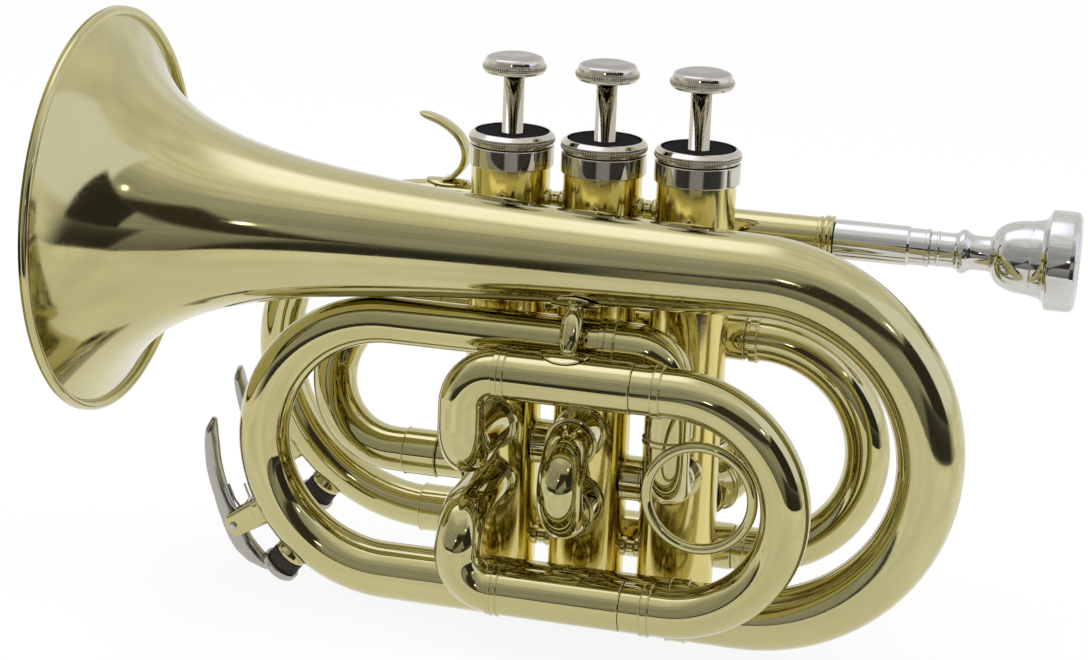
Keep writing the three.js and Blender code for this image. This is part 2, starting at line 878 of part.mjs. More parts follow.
function tailBowShape() {
  const start = new THREE.Vector3(bellReturnJointX - jointGap, bellDepth, bellReturnHeight);
  const route = new Route(start, leftWay).straight(start.x - tailBowX);
  const arcStart = route.length;
  route.bend(zAxis, tailBowRadius, 180);
  const arcEnd = route.length;
  route.straight(tailFerruleX - tailBowX);
  const outer = [
    [0, bellBowEndDiameter / 2],
    [arcStart, tailBowStartDiameter / 2],
    [(arcStart + arcEnd) / 2, tailBowMiddleDiameter / 2],
    [arcEnd, tailLegDiameter / 2],
    [route.length, tailLegDiameter / 2],
  ];
  const inner = [
    [0, bellBowEndDiameter / 2 - bellWall],
    [arcEnd, boreRadius],
    [route.length, boreRadius],
  ];
  return { route, outer, inner };
}

function tailBow() {
  const { route, outer, inner } = tailBowShape();
  addPiece("tail_bow", cut(pipe(route, outer, inner), drainHole(waterKeys.tail)), brass);
}

// From the tail's ring over the elbow, down in front of valve 1 and into its near side.
function tailElbow() {
  const start = new THREE.Vector3(tailFerruleX + jointGap, bellDepth, tailLegHeight);
  const route = new Route(start, xAxis).straight(tailDropX - tailElbowRadius - start.x);
  route.bend(downWay, tailElbowRadius, 90, tightStepDegrees);
  route.straight(route.point.z - tailSleeveBottomHeight);
  const sleeveEnd = route.length;
  route.straight(route.point.z - tailPortHeight - tailHookRadius);
  route.bend(yAxis, tailHookRadius, 90, tightStepDegrees);
  route.straight(-casingRadius - route.point.y);
  const leg = tailLegDiameter / 2;
  const profile = [
    [0, ferruleRadius],
    [ferruleLength, ferruleRadius],
    [ferruleLength, leg],
    [sleeveEnd, leg],
    [sleeveEnd, tubeRadius - slideClearance],
    [route.length, tubeRadius - slideClearance],
  ];
  const whole = pipe(route, profile, boreRadius - slideClearance, tubeSides);
  addPiece("tail_elbow", cut(whole, ...casingClearance(valveX[1])), brass);
}

// Leadpipe side
function mouthpiece() {
  const rim = mouthpieceRimDiameter / 2;
  const shank = shankDiameter / 2;
  const bead = beadDiameter / 2;
  const cup = cupDiameter / 2;
  const cupBack = cupBackDiameter / 2;
  const dome = [1, 2, 3, 4].map((i) => {
    const a = (Math.PI / 2) * (i / 4);
    return [cupShoulderX - (cupShoulderX - cupBackX) * Math.cos(a), cupBack + (cup - cupBack) * Math.sin(a)];
  });
  const cupMouth = cupMouthDiameter / 2;
  const cupFloorX = mouthpieceFaceX - cupDepth;
  const bowl = [0, 1, 2, 3, 4].map((i) => {
    const a = (Math.PI / 2) * (i / 4);
    return [
      mouthpieceFaceX - rimEdgeRadius - (cupDepth - rimEdgeRadius) * Math.sin(a),
      throatBore / 2 + (cupMouth - throatBore / 2) * Math.cos(a),
    ];
  });
  const outline = [
    [mouthpieceTipX, backboreDiameter / 2],
    [mouthpieceTipX, shankTipDiameter / 2],
    [receiverMouthX + jointGap, shankMouthDiameter / 2],
    [receiverMouthX + jointGap, shank],
    [beadX - 2 * beadHalfLength, shank],
    ...arcPoints(beadX, bead - beadHalfLength, beadHalfLength, -90, 90, 4),
    [neckX, neckDiameter / 2],
    [cupBackX, neckDiameter / 2],
    [cupBackX, cupBack],
    ...dome,
    [waistX, waistDiameter / 2],
    [rimBackX, rim],
    [mouthpieceFaceX - rimEdgeRadius, rim],
    ...arcPoints(mouthpieceFaceX - rimEdgeRadius, rim - rimEdgeRadius, rimEdgeRadius, 30, 90, 2),
    [mouthpieceFaceX, cupMouth + rimEdgeRadius],
    ...bowl,
    [cupFloorX - cupDepth / 2, throatBore / 2],
    [mouthpieceTipX, backboreDiameter / 2],
  ];
  const mesh = addPiece("mouthpiece", turned(outline, valveSides, "x"), nickel);
  mesh.position.set(0, leadpipeDepth, leadpipeHeight);
}

function receiver() {
  const outer = receiverDiameter / 2;
  const step = receiverStepDiameter / 2;
  const mouth = shankMouthDiameter / 2 + jointGap;
  const tip = shankTipDiameter / 2 + jointGap;
  const outline = [
    [receiverStartX, backboreDiameter / 2],
    [receiverStartX, outer],
    [receiverStepX, outer],
    [receiverStepX, step],
    [receiverMouthX, step],
    [receiverMouthX, mouth],
    [mouthpieceTipX - jointGap, tip],
    [mouthpieceTipX - jointGap, backboreDiameter / 2],
    [receiverStartX, backboreDiameter / 2],
  ];
  const mesh = addPiece("mouthpiece_receiver", turned(outline, tubeSides, "x"), nickel);
  mesh.position.set(0, leadpipeDepth, leadpipeHeight);
}

const frontBowRadius = (leadpipeHeight - returnLegHeight) / 2;

function leadpipe() {
  const outer = leadpipeDiameter / 2;
  const inner = outer - leadpipeWall;
  const ring = leadpipeRingDiameter / 2;
  const end = receiverStartX - jointGap;
  const outline = [
    [frontBowX, inner],
    [frontBowX, outer],
    [end - 2 * leadpipeRingLength, outer],
    [end - 2 * leadpipeRingLength, ring],
    [end, ring],
    [end, inner],
    [frontBowX, inner],
  ];
  const mesh = addPiece("leadpipe", turned(outline, tubeSides, "x"), brass);
  mesh.position.set(0, leadpipeDepth, leadpipeHeight);
}

function frontBowShape() {
  const start = new THREE.Vector3(frontBowX - jointGap, leadpipeDepth, leadpipeHeight);
  const route = new Route(start, leftWay).bend(downWay, frontBowRadius, 180);
  const arc = route.length;
  const outer = [
    [0, leadpipeDiameter / 2],
    [arc / 2, tubeRadius],
    [arc, tubeRadius],
  ];
  const inner = [[0, leadpipeDiameter / 2 - leadpipeWall], [arc / 2, boreRadius], [arc, boreRadius]];
  return { route, outer, inner };
}

function frontBow() {
  const { route, outer, inner } = frontBowShape();
  addPiece("front_bow", cut(pipe(route, outer, inner), drainHole(waterKeys.front)), brass);
  const sleeveStart = new THREE.Vector3(frontBowX, leadpipeDepth, returnLegHeight);
  const sleeve = new Route(sleeveStart, xAxis).straight(tuningSleeveEndX - frontBowX);
  const sleeveProfile = [
    [0, ferruleRadius],
    [frontBowSleeveLength, ferruleRadius],
    [frontBowSleeveLength, tubeRadius],
    [sleeve.length - tuningSleeveLength, tubeRadius],
    [sleeve.length - tuningSleeveLength, sleeveRadius],
    [sleeve.length - ferruleLength, sleeveRadius],
    [sleeve.length - ferruleLength, ferruleRadius],
    [sleeve.length, ferruleRadius],
  ];
  addPiece("tuning_lower_sleeve", pipe(sleeve, sleeveProfile, sleeveBoreFrom(sleeve)), brass);
}

// The bore of a fixed tube whose far end takes a slide's inner leg.
function sleeveBoreFrom(route) {
  const start = route.length - tuningSleeveLength;
  return [[0, boreRadius], [start, boreRadius], [start, sleeveBore], [route.length, sleeveBore]];
}

function crossover() {
  const start = new THREE.Vector3(innerBowX, leadpipeDepth, crossoverHeight);
  const route = new Route(start, xAxis).straight(tuningSleeveEndX - innerBowX);
  const outer = [
    [0, ferruleRadius],
    [ferruleLength, ferruleRadius],
    [ferruleLength, tubeRadius],
    [route.length - tuningSleeveLength, tubeRadius],
    [route.length - tuningSleeveLength, sleeveRadius],
    [route.length - ferruleLength, sleeveRadius],
    [route.length - ferruleLength, ferruleRadius],
    [route.length, ferruleRadius],
  ];
  addPiece("tuning_upper_sleeve", pipe(route, outer, sleeveBoreFrom(route)), brass);
}

function innerBow() {
  const upper = new THREE.Vector3(innerBowX - jointGap, leadpipeDepth, crossoverHeight);
  const lower = new THREE.Vector3(innerBowX - jointGap, 0, inletPortHeight);
  const across = lower.clone().sub(upper);
  const route = new Route(upper, leftWay).bend(across, across.length() / 2, 180);
  const arcEnd = route.length;
  route.straight(innerBowFerruleX - lower.x + innerBowFerruleLength);
  const ferruleAt = route.length - innerBowFerruleLength;
  const profile = [
    [0, tubeRadius],
    [arcEnd, tubeRadius],
    [ferruleAt, tubeRadius],
    [ferruleAt, sleeveRadius],
    [route.length, sleeveRadius],
  ];
  addPiece("inner_bow", pipe(route, profile, boreRadius, tubeSides, zAxis), brass);
}

// A slide: a bow with a thinner leg in each end, which runs in the fixed sleeves.
function slideLegs(route, legLength, crookRadius, ferruleAt, ferruleWidth) {
  const end = route.length;
  const outer = [
    [0, innerLegRadius],
    [legLength, innerLegRadius],
    [legLength, crookRadius],
    [ferruleAt, crookRadius],
    [ferruleAt, ferruleRadius],
    [ferruleAt + ferruleWidth, ferruleRadius],
    [ferruleAt + ferruleWidth, crookRadius],
    [end - ferruleAt - ferruleWidth, crookRadius],
    [end - ferruleAt - ferruleWidth, ferruleRadius],
    [end - ferruleAt, ferruleRadius],
    [end - ferruleAt, crookRadius],
    [end - legLength, crookRadius],
    [end - legLength, innerLegRadius],
    [end, innerLegRadius],
  ];
  return outer;
}

function tuningSlide() {
  const radius = (crossoverHeight - returnLegHeight) / 2;
  const start = new THREE.Vector3(tuningSleeveEndX - tuningInnerLength, leadpipeDepth, crossoverHeight);
  const route = new Route(start, xAxis).straight(tuningBowX - start.x);
  route.bend(downWay, radius, 180);
  route.straight(tuningBowX - start.x);
  const legLength = tuningInnerLength + jointGap;
  const profile = slideLegs(route, legLength, tubeRadius, legLength, ferruleLength);
  addPiece("tuning_slide", pipe(route, profile, innerLegBore), brass);
}

// Third slide: two fixed knuckles and sleeves, and the crook with its ring.
function thirdKnuckle(name, legHeight, portHeight) {
  const drop = Math.sign(portHeight - legHeight);
  const downOrUp = zAxis.clone().multiplyScalar(drop);
  const fall = Math.abs(portHeight - legHeight) - 2 * knuckleRadius;
  const startX = thirdKnuckleDropX + knuckleRadius;
  const route = new Route(new THREE.Vector3(startX, thirdSlideDepth, legHeight), leftWay);
  route.bend(downOrUp, knuckleRadius, 90, tightStepDegrees);
  route.straight(fall);
  route.bend(yAxis, knuckleRadius, 90, tightStepDegrees);
  route.straight(-casingRadius - route.point.y);
  const collarAt = route.length - portCollarLength;
  const profile = [
    [0, ferruleRadius],
    [ferruleLength, ferruleRadius],
    [ferruleLength, tubeRadius],
    [collarAt, tubeRadius],
    [collarAt, portCollarDiameter / 2],
    [route.length, portCollarDiameter / 2],
  ];
  const whole = pipe(route, profile, boreRadius);
  addPiece(name, cut(whole, ...casingClearance(valveX[3])), brass);
}

function thirdSleeve(name, height) {
  const start = new THREE.Vector3(thirdKnuckleDropX + knuckleRadius + jointGap, thirdSlideDepth, height);
  const sleeve = straightPipe(start, xAxis, thirdSleeveEndX - start.x, sleeveRadius, sleeveBore);
  addPiece(name, sleeve, brass);
}

const thirdBowRadius = (thirdSlideUpperHeight - thirdSlideLowerHeight) / 2;

function thirdSlide() {
  const start = new THREE.Vector3(thirdSleeveEndX - thirdInnerLength, thirdSlideDepth, thirdSlideUpperHeight);
  const route = new Route(start, xAxis).straight(thirdBowX - start.x);
  route.bend(downWay, thirdBowRadius, 180);
  route.straight(thirdBowX - start.x);
  const legLength = thirdInnerLength + jointGap;
  const ferruleAt = thirdFerruleX - start.x;
  const profile = slideLegs(route, legLength, thirdCrookDiameter / 2, ferruleAt, ferruleLength);
  addPiece("third_slide", pipe(route, profile, innerLegBore), brass);
  const hoop = (fingerRingDiameter - fingerRingWire) / 2;
  const ring = new THREE.TorusGeometry(hoop, fingerRingWire / 2, wireSides, ringSteps);
  ring.rotateX(Math.PI / 2);
  const reach = thirdBowRadius - (thirdCrookDiameter + fingerRingDiameter) / 2 - jointGap;
  const ringX = thirdBowX + Math.sqrt(reach ** 2 - fingerRingRise ** 2);
  const ringHeight = (thirdSlideUpperHeight + thirdSlideLowerHeight) / 2 + fingerRingRise;
  const mesh = addPiece("finger_ring", ring, brass);
  mesh.position.set(ringX, thirdSlideDepth, ringHeight);
}

// First and second slides: a tight bow on two short legs.
function shortSlide(name, number, way, shift) {
  const reach = casingRadius + shortSleeveLengths[number];
  const upper = portAxis({ height: shortUpperPortHeight, shift }, valveX[number]);
  upper.addScaledVector(way, reach - shortInnerLengths[number]);
  const radius = (shortUpperPortHeight - shortLowerPortHeight) / 2;
  const legLength = shortInnerLengths[number] + jointGap;
  const route = new Route(upper, way).straight(legLength);
  route.bend(downWay, radius, 180, tightStepDegrees);
  route.straight(legLength);
  const bow = shortBowDiameter / 2;
  const profile = [
    [0, innerLegRadius],
    [legLength, innerLegRadius],
    [legLength, bow],
    [route.length - legLength, bow],
    [route.length - legLength, innerLegRadius],
    [route.length, innerLegRadius],
  ];
  addPiece(name, pipe(route, profile, innerLegBore, tubeSides, zAxis), brass);
}

function ovalRing(centre, along, halfLength, across, halfWidth) {
  const ring = [];
  for (let j = 0; j < rodSides; j++) {
    const a = (2 * Math.PI * j) / rodSides;
    const point = centre.clone().addScaledVector(along, halfLength * Math.cos(a));
    ring.push(point.addScaledVector(across, halfWidth * Math.sin(a)));
  }
  return ring;
}

// Spindle between the bell and the third slide's upper sleeve.
function bellBrace() {
  const bellRadiusHere = flareRadius(braceX - rimX);
  const from = new THREE.Vector3(braceX, bellDepth, bellHeight);
  const to = new THREE.Vector3(braceX, thirdSlideDepth, thirdSlideUpperHeight);
  const way = to.clone().sub(from);
  const start = bellRadiusHere + jointGap;
  const length = way.length() - start - sleeveRadius - jointGap;
  way.normalize();
  from.addScaledVector(way, start);
  const end = braceEndDiameter / 2;
  const spindle = rod(
    new Route(from, way).straight(length),
    [
      [0, end],
      [length * braceNeckShare, end],
      [length / 2, braceSpindleDiameter / 2],
      [length - length * braceNeckShare, end],
      [length, end],
    ],
    rodSides,
    xAxis,
  );
  const across = way.clone().cross(xAxis);
  const flanges = [0, length - braceFlangeThickness].map((distance) => {
    const rings = [distance, distance + braceFlangeThickness].map((d) => {
      const centre = from.clone().addScaledVector(way, d);
      return ovalRing(centre, xAxis, braceFlangeLength / 2, across, braceFlangeWidth / 2);
    });
    return skin(rings, false);
  });
  const body = joined(spindle, ...flanges);
  addPiece("bell_brace", body, brass);
}

// A strip of even width bent along a line of points in the XZ plane.
function bentStrip(points, width, thicknesses) {
  const path = new THREE.CatmullRomCurve3(points);
  const rings = thicknesses.map((thickness, i) => {
    const share = i / (thicknesses.length - 1);
    const centre = path.getPointAt(share);
    const along = path.getTangentAt(share);
    const out = along.clone().cross(yAxis).normalize();
    return [[-1, -1], [1, -1], [1, 1], [-1, 1]].map(([side, face]) => {
      const corner = centre.clone().addScaledVector(yAxis, (side * width) / 2);
      return corner.addScaledVector(out, (face * thickness) / 2);
    });
  });
  return skin(rings, false);
}

// A hook for the little finger, soldered on the leadpipe.
function pinkyHook() {
  const foot = leadpipeDiameter / 2 + jointGap + hookThicknesses[0] / 2;
  const points = hookShape.map(([x, z]) => new THREE.Vector3(x, 0, foot + z));
  const strip = bentStrip(points, hookWidth, hookThicknesses);
  strip.translate(hookFootX, leadpipeDepth, leadpipeHeight);
  const padTop = foot + hookThicknesses[0] / 2;
  const pad = new THREE.BoxGeometry(hookFootLength, hookWidth, padTop);
  pad.translate(hookFootX, leadpipeDepth, leadpipeHeight + padTop / 2);
  addPiece("pinky_hook", cut(joined(strip, pad), leadpipeClearance()), brass);
}

function leadpipeClearance() {
  const startX = frontBowX - hookFootLength;
  return straightRod(
    new THREE.Vector3(startX, leadpipeDepth, leadpipeHeight),
    xAxis,
    receiverStartX - startX,
    leadpipeDiameter / 2 + jointGap,
    tubeSides,
  );
}

function leadpipeBrace() {
  const start = new THREE.Vector3(valveX[1], casingRadius / 2, leadpipeHeight);
  const post = straightRod(start, yAxis, leadpipeDepth - casingRadius / 2, leadpipeBraceDiameter / 2);
  addPiece("leadpipe_brace", cut(post, ...casingClearance(valveX[1]), leadpipeClearance()), brass);
}

// Water key on the outside of a bow. Angles are measured round the bow's centre, in degrees from +X.
const waterKeys = {
  tail: {
    shape: tailBowShape(),
    centre: new THREE.Vector3(tailBowX, bellDepth, (tailLegHeight + bellReturnHeight) / 2),
    bowRadius: tailBowRadius,
    wall: tailBowRadius + tailKeyTubeRadius,
  },
  front: {
    shape: frontBowShape(),
    centre: new THREE.Vector3(frontBowX - jointGap, leadpipeDepth, (leadpipeHeight + returnLegHeight) / 2),
    bowRadius: frontBowRadius,
    wall: frontBowRadius + tubeRadius,
  },
};
for (const [place, key] of Object.entries(waterKeys)) {
  key.tipAngle = keyTipAngles[place];
  key.pivotAngle = keyPivotAngles[place];
  key.nippleAngle = keyNippleAngles[place];
}

function outward(degrees) {
  const a = THREE.MathUtils.degToRad(degrees);
  return new THREE.Vector3(Math.cos(a), 0, Math.sin(a));
}

function drainHole(key) {
  const way = outward(key.nippleAngle);
  const from = key.centre.clone().addScaledVector(way, key.bowRadius);
  return straightRod(from, way, tubeDiameter, nippleBore / 2, wireSides);
}

// The bow's outside, one joint gap larger, cuts the foot of whatever sits on it.
function bowClearance(key) {
  return rod(
    key.shape.route,
    key.shape.outer.map(([d, r]) => [d, r + jointGap]),
    tubeSides,
  );
}

// A block that stands outwards on the bow and narrows from its foot to its top.
function blockOnBow(key, angle, lengths, width, radii) {
  const way = outward(angle);
  const round = way.clone().cross(yAxis);
  const rings = radii.map((radius, i) => {
    const middle = key.centre.clone().addScaledVector(way, radius);
    return [[-1, -1], [1, -1], [1, 1], [-1, 1]].map(([end, side]) => {
      const corner = middle.clone().addScaledVector(round, (end * lengths[i]) / 2);
      return corner.addScaledVector(yAxis, (-side * width) / 2);
    });
  });
  return skin(rings, false);
}

function keyRod(key, radii, diameter) {
  const way = outward(key.nippleAngle);
  const from = key.centre.clone().addScaledVector(way, radii[0]);
  return straightRod(from, way, radii[1] - radii[0], diameter / 2);
}

function waterKey(place) {
  const key = waterKeys[place];
  const pivotRadius = key.wall + pivotStandOff;
  const pivot = key.centre.clone().addScaledVector(outward(key.pivotAngle), pivotRadius);
  const sunk = key.wall - nippleDiameter / 2;
  const earTop = pivotRadius + saddleTopLength * saddleTopShare;
  const earShift = leverWidth / 2 + jointGap + saddleEarThickness / 2;
  const foot = blockOnBow(
    key,
    key.pivotAngle,
    [saddleFootLength, saddleFootLength],
    saddleWidth,
    [sunk, key.wall + saddleFootThickness],
  );
  const ears = [earShift, -earShift].map((shift) => {
    const lengths = [saddleFootLength, saddleTopLength];
    const ear = blockOnBow(key, key.pivotAngle, lengths, saddleEarThickness, [key.wall, earTop]);
    return ear.translate(0, shift, 0);
  });
  const pinHole = straightRod(
    pivot.clone().setY(pivot.y - saddleWidth),
    yAxis,
    2 * saddleWidth,
    pivotPinDiameter / 2 + jointGap,
    wireSides,
  );
  addPiece(`${place}_key_saddle`, cut(joined(foot, ...ears), bowClearance(key), pinHole), brass);

  const pinHalf = earShift + saddleEarThickness / 2;
  const pinStart = pivot.clone().setY(pivot.y - pinHalf - jointGap - pinHeadLength);
  const pinRoute = new Route(pinStart, yAxis).straight(2 * (pinHalf + jointGap) + pinHeadLength);
  const pinProfile = [
    [0, pinHeadDiameter / 2],
    [pinHeadLength, pinHeadDiameter / 2],
    [pinHeadLength, pivotPinDiameter / 2],
    [pinRoute.length, pivotPinDiameter / 2],
  ];
  addPiece(`${place}_key_screw`, rod(pinRoute, pinProfile, wireSides, zAxis), steel);

  const nippleTop = key.wall + nippleHeight;
  const nipple = keyRod(key, [sunk, nippleTop], nippleDiameter);
  const nippleHole = keyRod(key, [sunk - cutOverrun, nippleTop + cutOverrun], nippleBore);
  addPiece(`${place}_key_nipple`, cut(nipple, bowClearance(key), nippleHole), brass);

  const corkFoot = nippleTop + jointGap;
  const corkTop = corkFoot + corkThickness;
  addPiece(`${place}_key_cork`, keyRod(key, [corkFoot, corkTop], corkDiameter), cork);

  const cupFloor = corkTop + jointGap;
  const cup = keyRod(key, [cupFloor - keyCupDepth, cupFloor + keyCupFloor], keyCupDiameter);
  const cupHollow = keyRod(key, [corkFoot, cupFloor], corkDiameter + 2 * jointGap);
  addPiece(`${place}_key_lever`, cut(joined(leverArm(key), cup), cupHollow, pinHole), nickel);
}

// The lever's arm sweeps round the bow from the finger end over the pivot to the cup.
function leverArm(key) {
  const span = key.nippleAngle - key.tipAngle;
  const rings = leverShares.map((share, i) => {
    const widening = Math.max(0, 1 - share * leverPaddleShare);
    const halfWidth = (leverWidth + (leverPaddleWidth - leverWidth) * widening) / 2;
    const way = outward(key.tipAngle + span * share);
    return [[-1, -1], [1, -1], [1, 1], [-1, 1]].map(([face, side]) => {
      const radius = key.wall + leverRises[i] + (face * leverHeights[i]) / 2;
      const corner = key.centre.clone().addScaledVector(way, radius);
      return corner.addScaledVector(yAxis, side * halfWidth);
    });
  });
  return skin(rings, false);
}

for (const number of [3, 2, 1]) {
  casing(number);
  piston(number);
  valveGuide(number);
  spring(number);
  topCap(number);
  button(number);
  bottomCap(number);
}
interport("interport_23", -valveSpacing / 2, interportHighHeight);
interport("interport_12", valveSpacing / 2, interportLowHeight);
bell();
bellBow();
tailBow();
tailElbow();
mouthpiece();
receiver();
leadpipe();
frontBow();
crossover();
innerBow();
tuningSlide();
thirdKnuckle("third_upper_knuckle", thirdSlideUpperHeight, upperPortHeight);
thirdKnuckle("third_lower_knuckle", thirdSlideLowerHeight, lowerPortHeight);
thirdSleeve("third_upper_sleeve", thirdSlideUpperHeight);
thirdSleeve("third_lower_sleeve", thirdSlideLowerHeight);
thirdSlide();
shortSlide("second_slide", 2, nearWay, secondSlideX);
shortSlide("first_slide", 1, firstSlideWay, 0);
bellBrace();
pinkyHook();
leadpipeBrace();
waterKey("tail");
waterKey("front");

export default trumpet;
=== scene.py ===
import math

import bmesh
import bpy
from mathutils import Matrix, Vector


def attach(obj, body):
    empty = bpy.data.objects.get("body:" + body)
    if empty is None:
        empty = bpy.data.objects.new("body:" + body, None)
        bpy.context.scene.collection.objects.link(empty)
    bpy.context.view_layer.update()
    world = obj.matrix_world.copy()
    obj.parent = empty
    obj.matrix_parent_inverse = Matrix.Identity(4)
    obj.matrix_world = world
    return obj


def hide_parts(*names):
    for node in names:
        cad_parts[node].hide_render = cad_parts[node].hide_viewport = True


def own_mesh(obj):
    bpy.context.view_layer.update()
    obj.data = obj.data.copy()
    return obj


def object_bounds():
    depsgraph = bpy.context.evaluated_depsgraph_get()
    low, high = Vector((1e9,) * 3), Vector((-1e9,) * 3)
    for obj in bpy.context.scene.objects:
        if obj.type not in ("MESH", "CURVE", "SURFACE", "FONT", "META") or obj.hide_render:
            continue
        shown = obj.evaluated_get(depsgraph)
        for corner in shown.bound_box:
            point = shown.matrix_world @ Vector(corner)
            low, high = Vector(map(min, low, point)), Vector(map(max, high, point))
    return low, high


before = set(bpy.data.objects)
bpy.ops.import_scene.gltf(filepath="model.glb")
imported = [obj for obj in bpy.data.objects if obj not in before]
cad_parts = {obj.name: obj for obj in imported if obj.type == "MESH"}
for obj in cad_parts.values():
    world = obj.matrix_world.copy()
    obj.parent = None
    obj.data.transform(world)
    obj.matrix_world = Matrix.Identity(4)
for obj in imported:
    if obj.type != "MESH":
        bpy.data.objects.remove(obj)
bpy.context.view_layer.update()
print("frame loaded:", len(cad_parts), "nodes")

# Lengths are in millimetres and become metres when a mesh is made.
# +X runs towards the player's mouth, +Z up along the valves, +Y to the player's right.
mm = 0.001
xAxis, yAxis, zAxis = Vector((1, 0, 0)), Vector((0, 1, 0)), Vector((0, 0, 1))

tubing = {
    "tube": 6.35, "bore": 5.85, "sleeve": 6.75, "sleeveBore": 6.3, "innerLeg": 6.0, "innerBore": 5.5,
    "ferrule": 7.1, "ferruleLength": 2.6, "beadInset": 0.35, "gap": 0.3, "edge": 0.22,
    "sides": 56, "bendStep": 4.0,
}
planes = {
    "bell": -26.6, "thirdSlide": -42.4, "leadpipe": 18.0,
    "bellHeight": 39.0, "leadpipeHeight": 39.7, "bellReturn": -57.2, "tailLeg": 16.0,
    "crossover": 8.8, "returnLeg": -54.6, "thirdUpper": 9.6, "thirdLower": -51.7,
}
leadY, leadZ = planes["leadpipe"], planes["leadpipeHeight"]
# How an outline's corners are rounded: steps, the angle that counts as flat, and shares of the sides.
corner = {"steps": 3, "flat": 166, "share": 0.4, "lead": 0.2}


def onPlanes(x, plane, height):
    return Vector((x, planes[plane], planes[height]))


def turns(count):
    # Even angles once round.
    return [2 * math.pi * j / count for j in range(count)]


def shares(count):
    # Even steps from nought to one.
    return [i / (count - 1) for i in range(count)]


class Route:
    # A centre line laid down piece by piece: straight lengths and round bends.
    def __init__(self, start, way):
        self.end = Vector(start)
        self.way = Vector(way).normalized()
        self.pieces = []
        self.length = 0.0

    def straight(self, length):
        self.pieces.append((length, self.end.copy(), self.way.copy(), None, 0.0))
        self.end = self.end + self.way * length
        self.length += length
        return self

    def bend(self, toward, radius, degrees):
        length = radius * math.radians(degrees)
        self.pieces.append((length, self.end.copy(), self.way.copy(), Vector(toward).normalized(), radius))
        self.end, self.way = self.at(self.length + length)
        self.length += length
        return self

    def at(self, distance):
        rest = distance
        for i, (length, start, way, toward, radius) in enumerate(self.pieces):
            if rest <= length + 1e-6 or i == len(self.pieces) - 1:
                if toward is None:
                    return start + way * rest, way.copy()
                a = rest / radius
                point = start + toward * radius * (1 - math.cos(a)) + way * radius * math.sin(a)
                return point, way * math.cos(a) + toward * math.sin(a)
            rest -= length

    def marks(self):
        marks, start = [], 0.0
        for length, _, _, toward, radius in self.pieces:
            steps = 1
            if toward is not None:
                steps = max(8, round(math.degrees(length / radius) / tubing["bendStep"]))
            marks += [start + length * i / steps for i in range(steps + 1)]
            start += length
        return marks


def rounded(outline, size, closed=False):
    # Each corner of an outline of (distance, radius) points gets a small round edge.
    result, count, c = [], len(outline), corner
    for i, point in enumerate(outline):
        here = Vector(point)
        if not closed and i in (0, count - 1):
            result.append(here)
            continue
        back = Vector(outline[i - 1]) - here
        on = Vector(outline[(i + 1) % count]) - here
        if back.length < 1e-6 or on.length < 1e-6:
            continue
        if back.angle(on) > math.radians(c["flat"]):
            result.append(here)
            continue
        cutBack = min(size, back.length * c["share"], on.length * c["share"])
        first = here + back.normalized() * cutBack
        last = here + on.normalized() * cutBack
        result.append(first + back.normalized() * cutBack * c["lead"])
        for k in range(c["steps"] + 1):
            t = k / c["steps"]
            result.append(first * (1 - t) ** 2 + here * 2 * t * (1 - t) + last * t * t)
        result.append(last + on.normalized() * cutBack * c["lead"])
    return [(p[0], p[1]) for p in result]


def withMarks(outline, marks, closed):
    # Extra points where the route's own steps cross the outline.
    result, margin = [], 0.05
    for (d0, r0), (d1, r1) in zip(outline, outline[1:] + outline[:1] if closed else outline[1:]):
        result.append((d0, r0))
        low, high = min(d0, d1), max(d0, d1)
        inside = [m for m in marks if low + margin < m < high - margin]
        for m in inside if d1 > d0 else reversed(inside):
            result.append((m, r0 + (r1 - r0) * (m - d0) / (d1 - d0)))
    return result if closed else result + [outline[-1]]


def stepped(length, *steps):
    # A wall that keeps the radius of each (distance, radius) step as far as the next one.
    ends = [d for d, _ in steps[1:]] + [length]
    return [point for (d, r), end in zip(steps, ends) for point in ((d, r), (end, r))]


def band(inner, outer, length, start=0):
    return [(start, inner), (start, outer), (start + length, outer), (start + length, inner)]


def addObject(name, data):
    thing = bpy.data.objects.new(name, data)
    bpy.context.scene.collection.objects.link(thing)
    return thing


def newMesh(name, vertices, faces=()):
    mesh = bpy.data.meshes.new(name)
    mesh.from_pydata(vertices, [], faces)
    return mesh


def newPiece(name, vertices, faces, sharpAngle=44):
    mesh = newMesh(name, [tuple(v * mm) for v in vertices], faces)
    mesh.validate()
    mesh.shade_smooth()
    mesh.set_sharp_from_angle(angle=math.radians(sharpAngle))
    return addObject(name, mesh)


def evenRings(count, around, start=0):
    return [range(start + i * around, start + (i + 1) * around) for i in range(count)]


def skin(rings, closed=False, inward=False):
    # Faces from each ring of vertex numbers to the next; a ring of one number is a tip.
    faces = []
    for here, there in zip(rings, rings[1:] + rings[:1] if closed else rings[1:]):
        around = max(len(here), len(there))
        for j in range(around) if around > 1 else ():
            k = (j + 1) % around
            if len(here) == 1:
                faces.append((here[0], there[k], there[j]))
            elif len(there) == 1:
                faces.append((here[j], here[k], there[0]))
            elif inward:
                faces.append((here[j], there[j], there[k], here[k]))
            else:
                faces.append((here[j], here[k], there[k], there[j]))
    return faces


def loft(name, route, outline, sides=None, reference=yAxis, closed=True):
    # Rings along a route, from an outline of (distance, radius) points: outer wall up, inner wall back.
    sides = sides or tubing["sides"]
    points = withMarks(outline, sorted(set(route.marks())), closed)
    across, places = reference.copy(), {}
    for d in sorted({round(p[0], 4) for p in points}):
        centre, along = route.at(d)
        across = (across - along * across.dot(along)).normalized()
        places[d] = (centre, across.copy(), along.cross(across))
    vertices, rings = [], []
    for d, r in points:
        centre, side, other = places[round(d, 4)]
        first = len(vertices)
        if r < 1e-4:
            vertices.append(centre.copy())
        else:
            vertices += [centre + side * r * math.cos(a) + other * r * math.sin(a) for a in turns(sides)]
        rings.append(range(first, len(vertices)))
    return newPiece(name, vertices, skin(rings, closed))


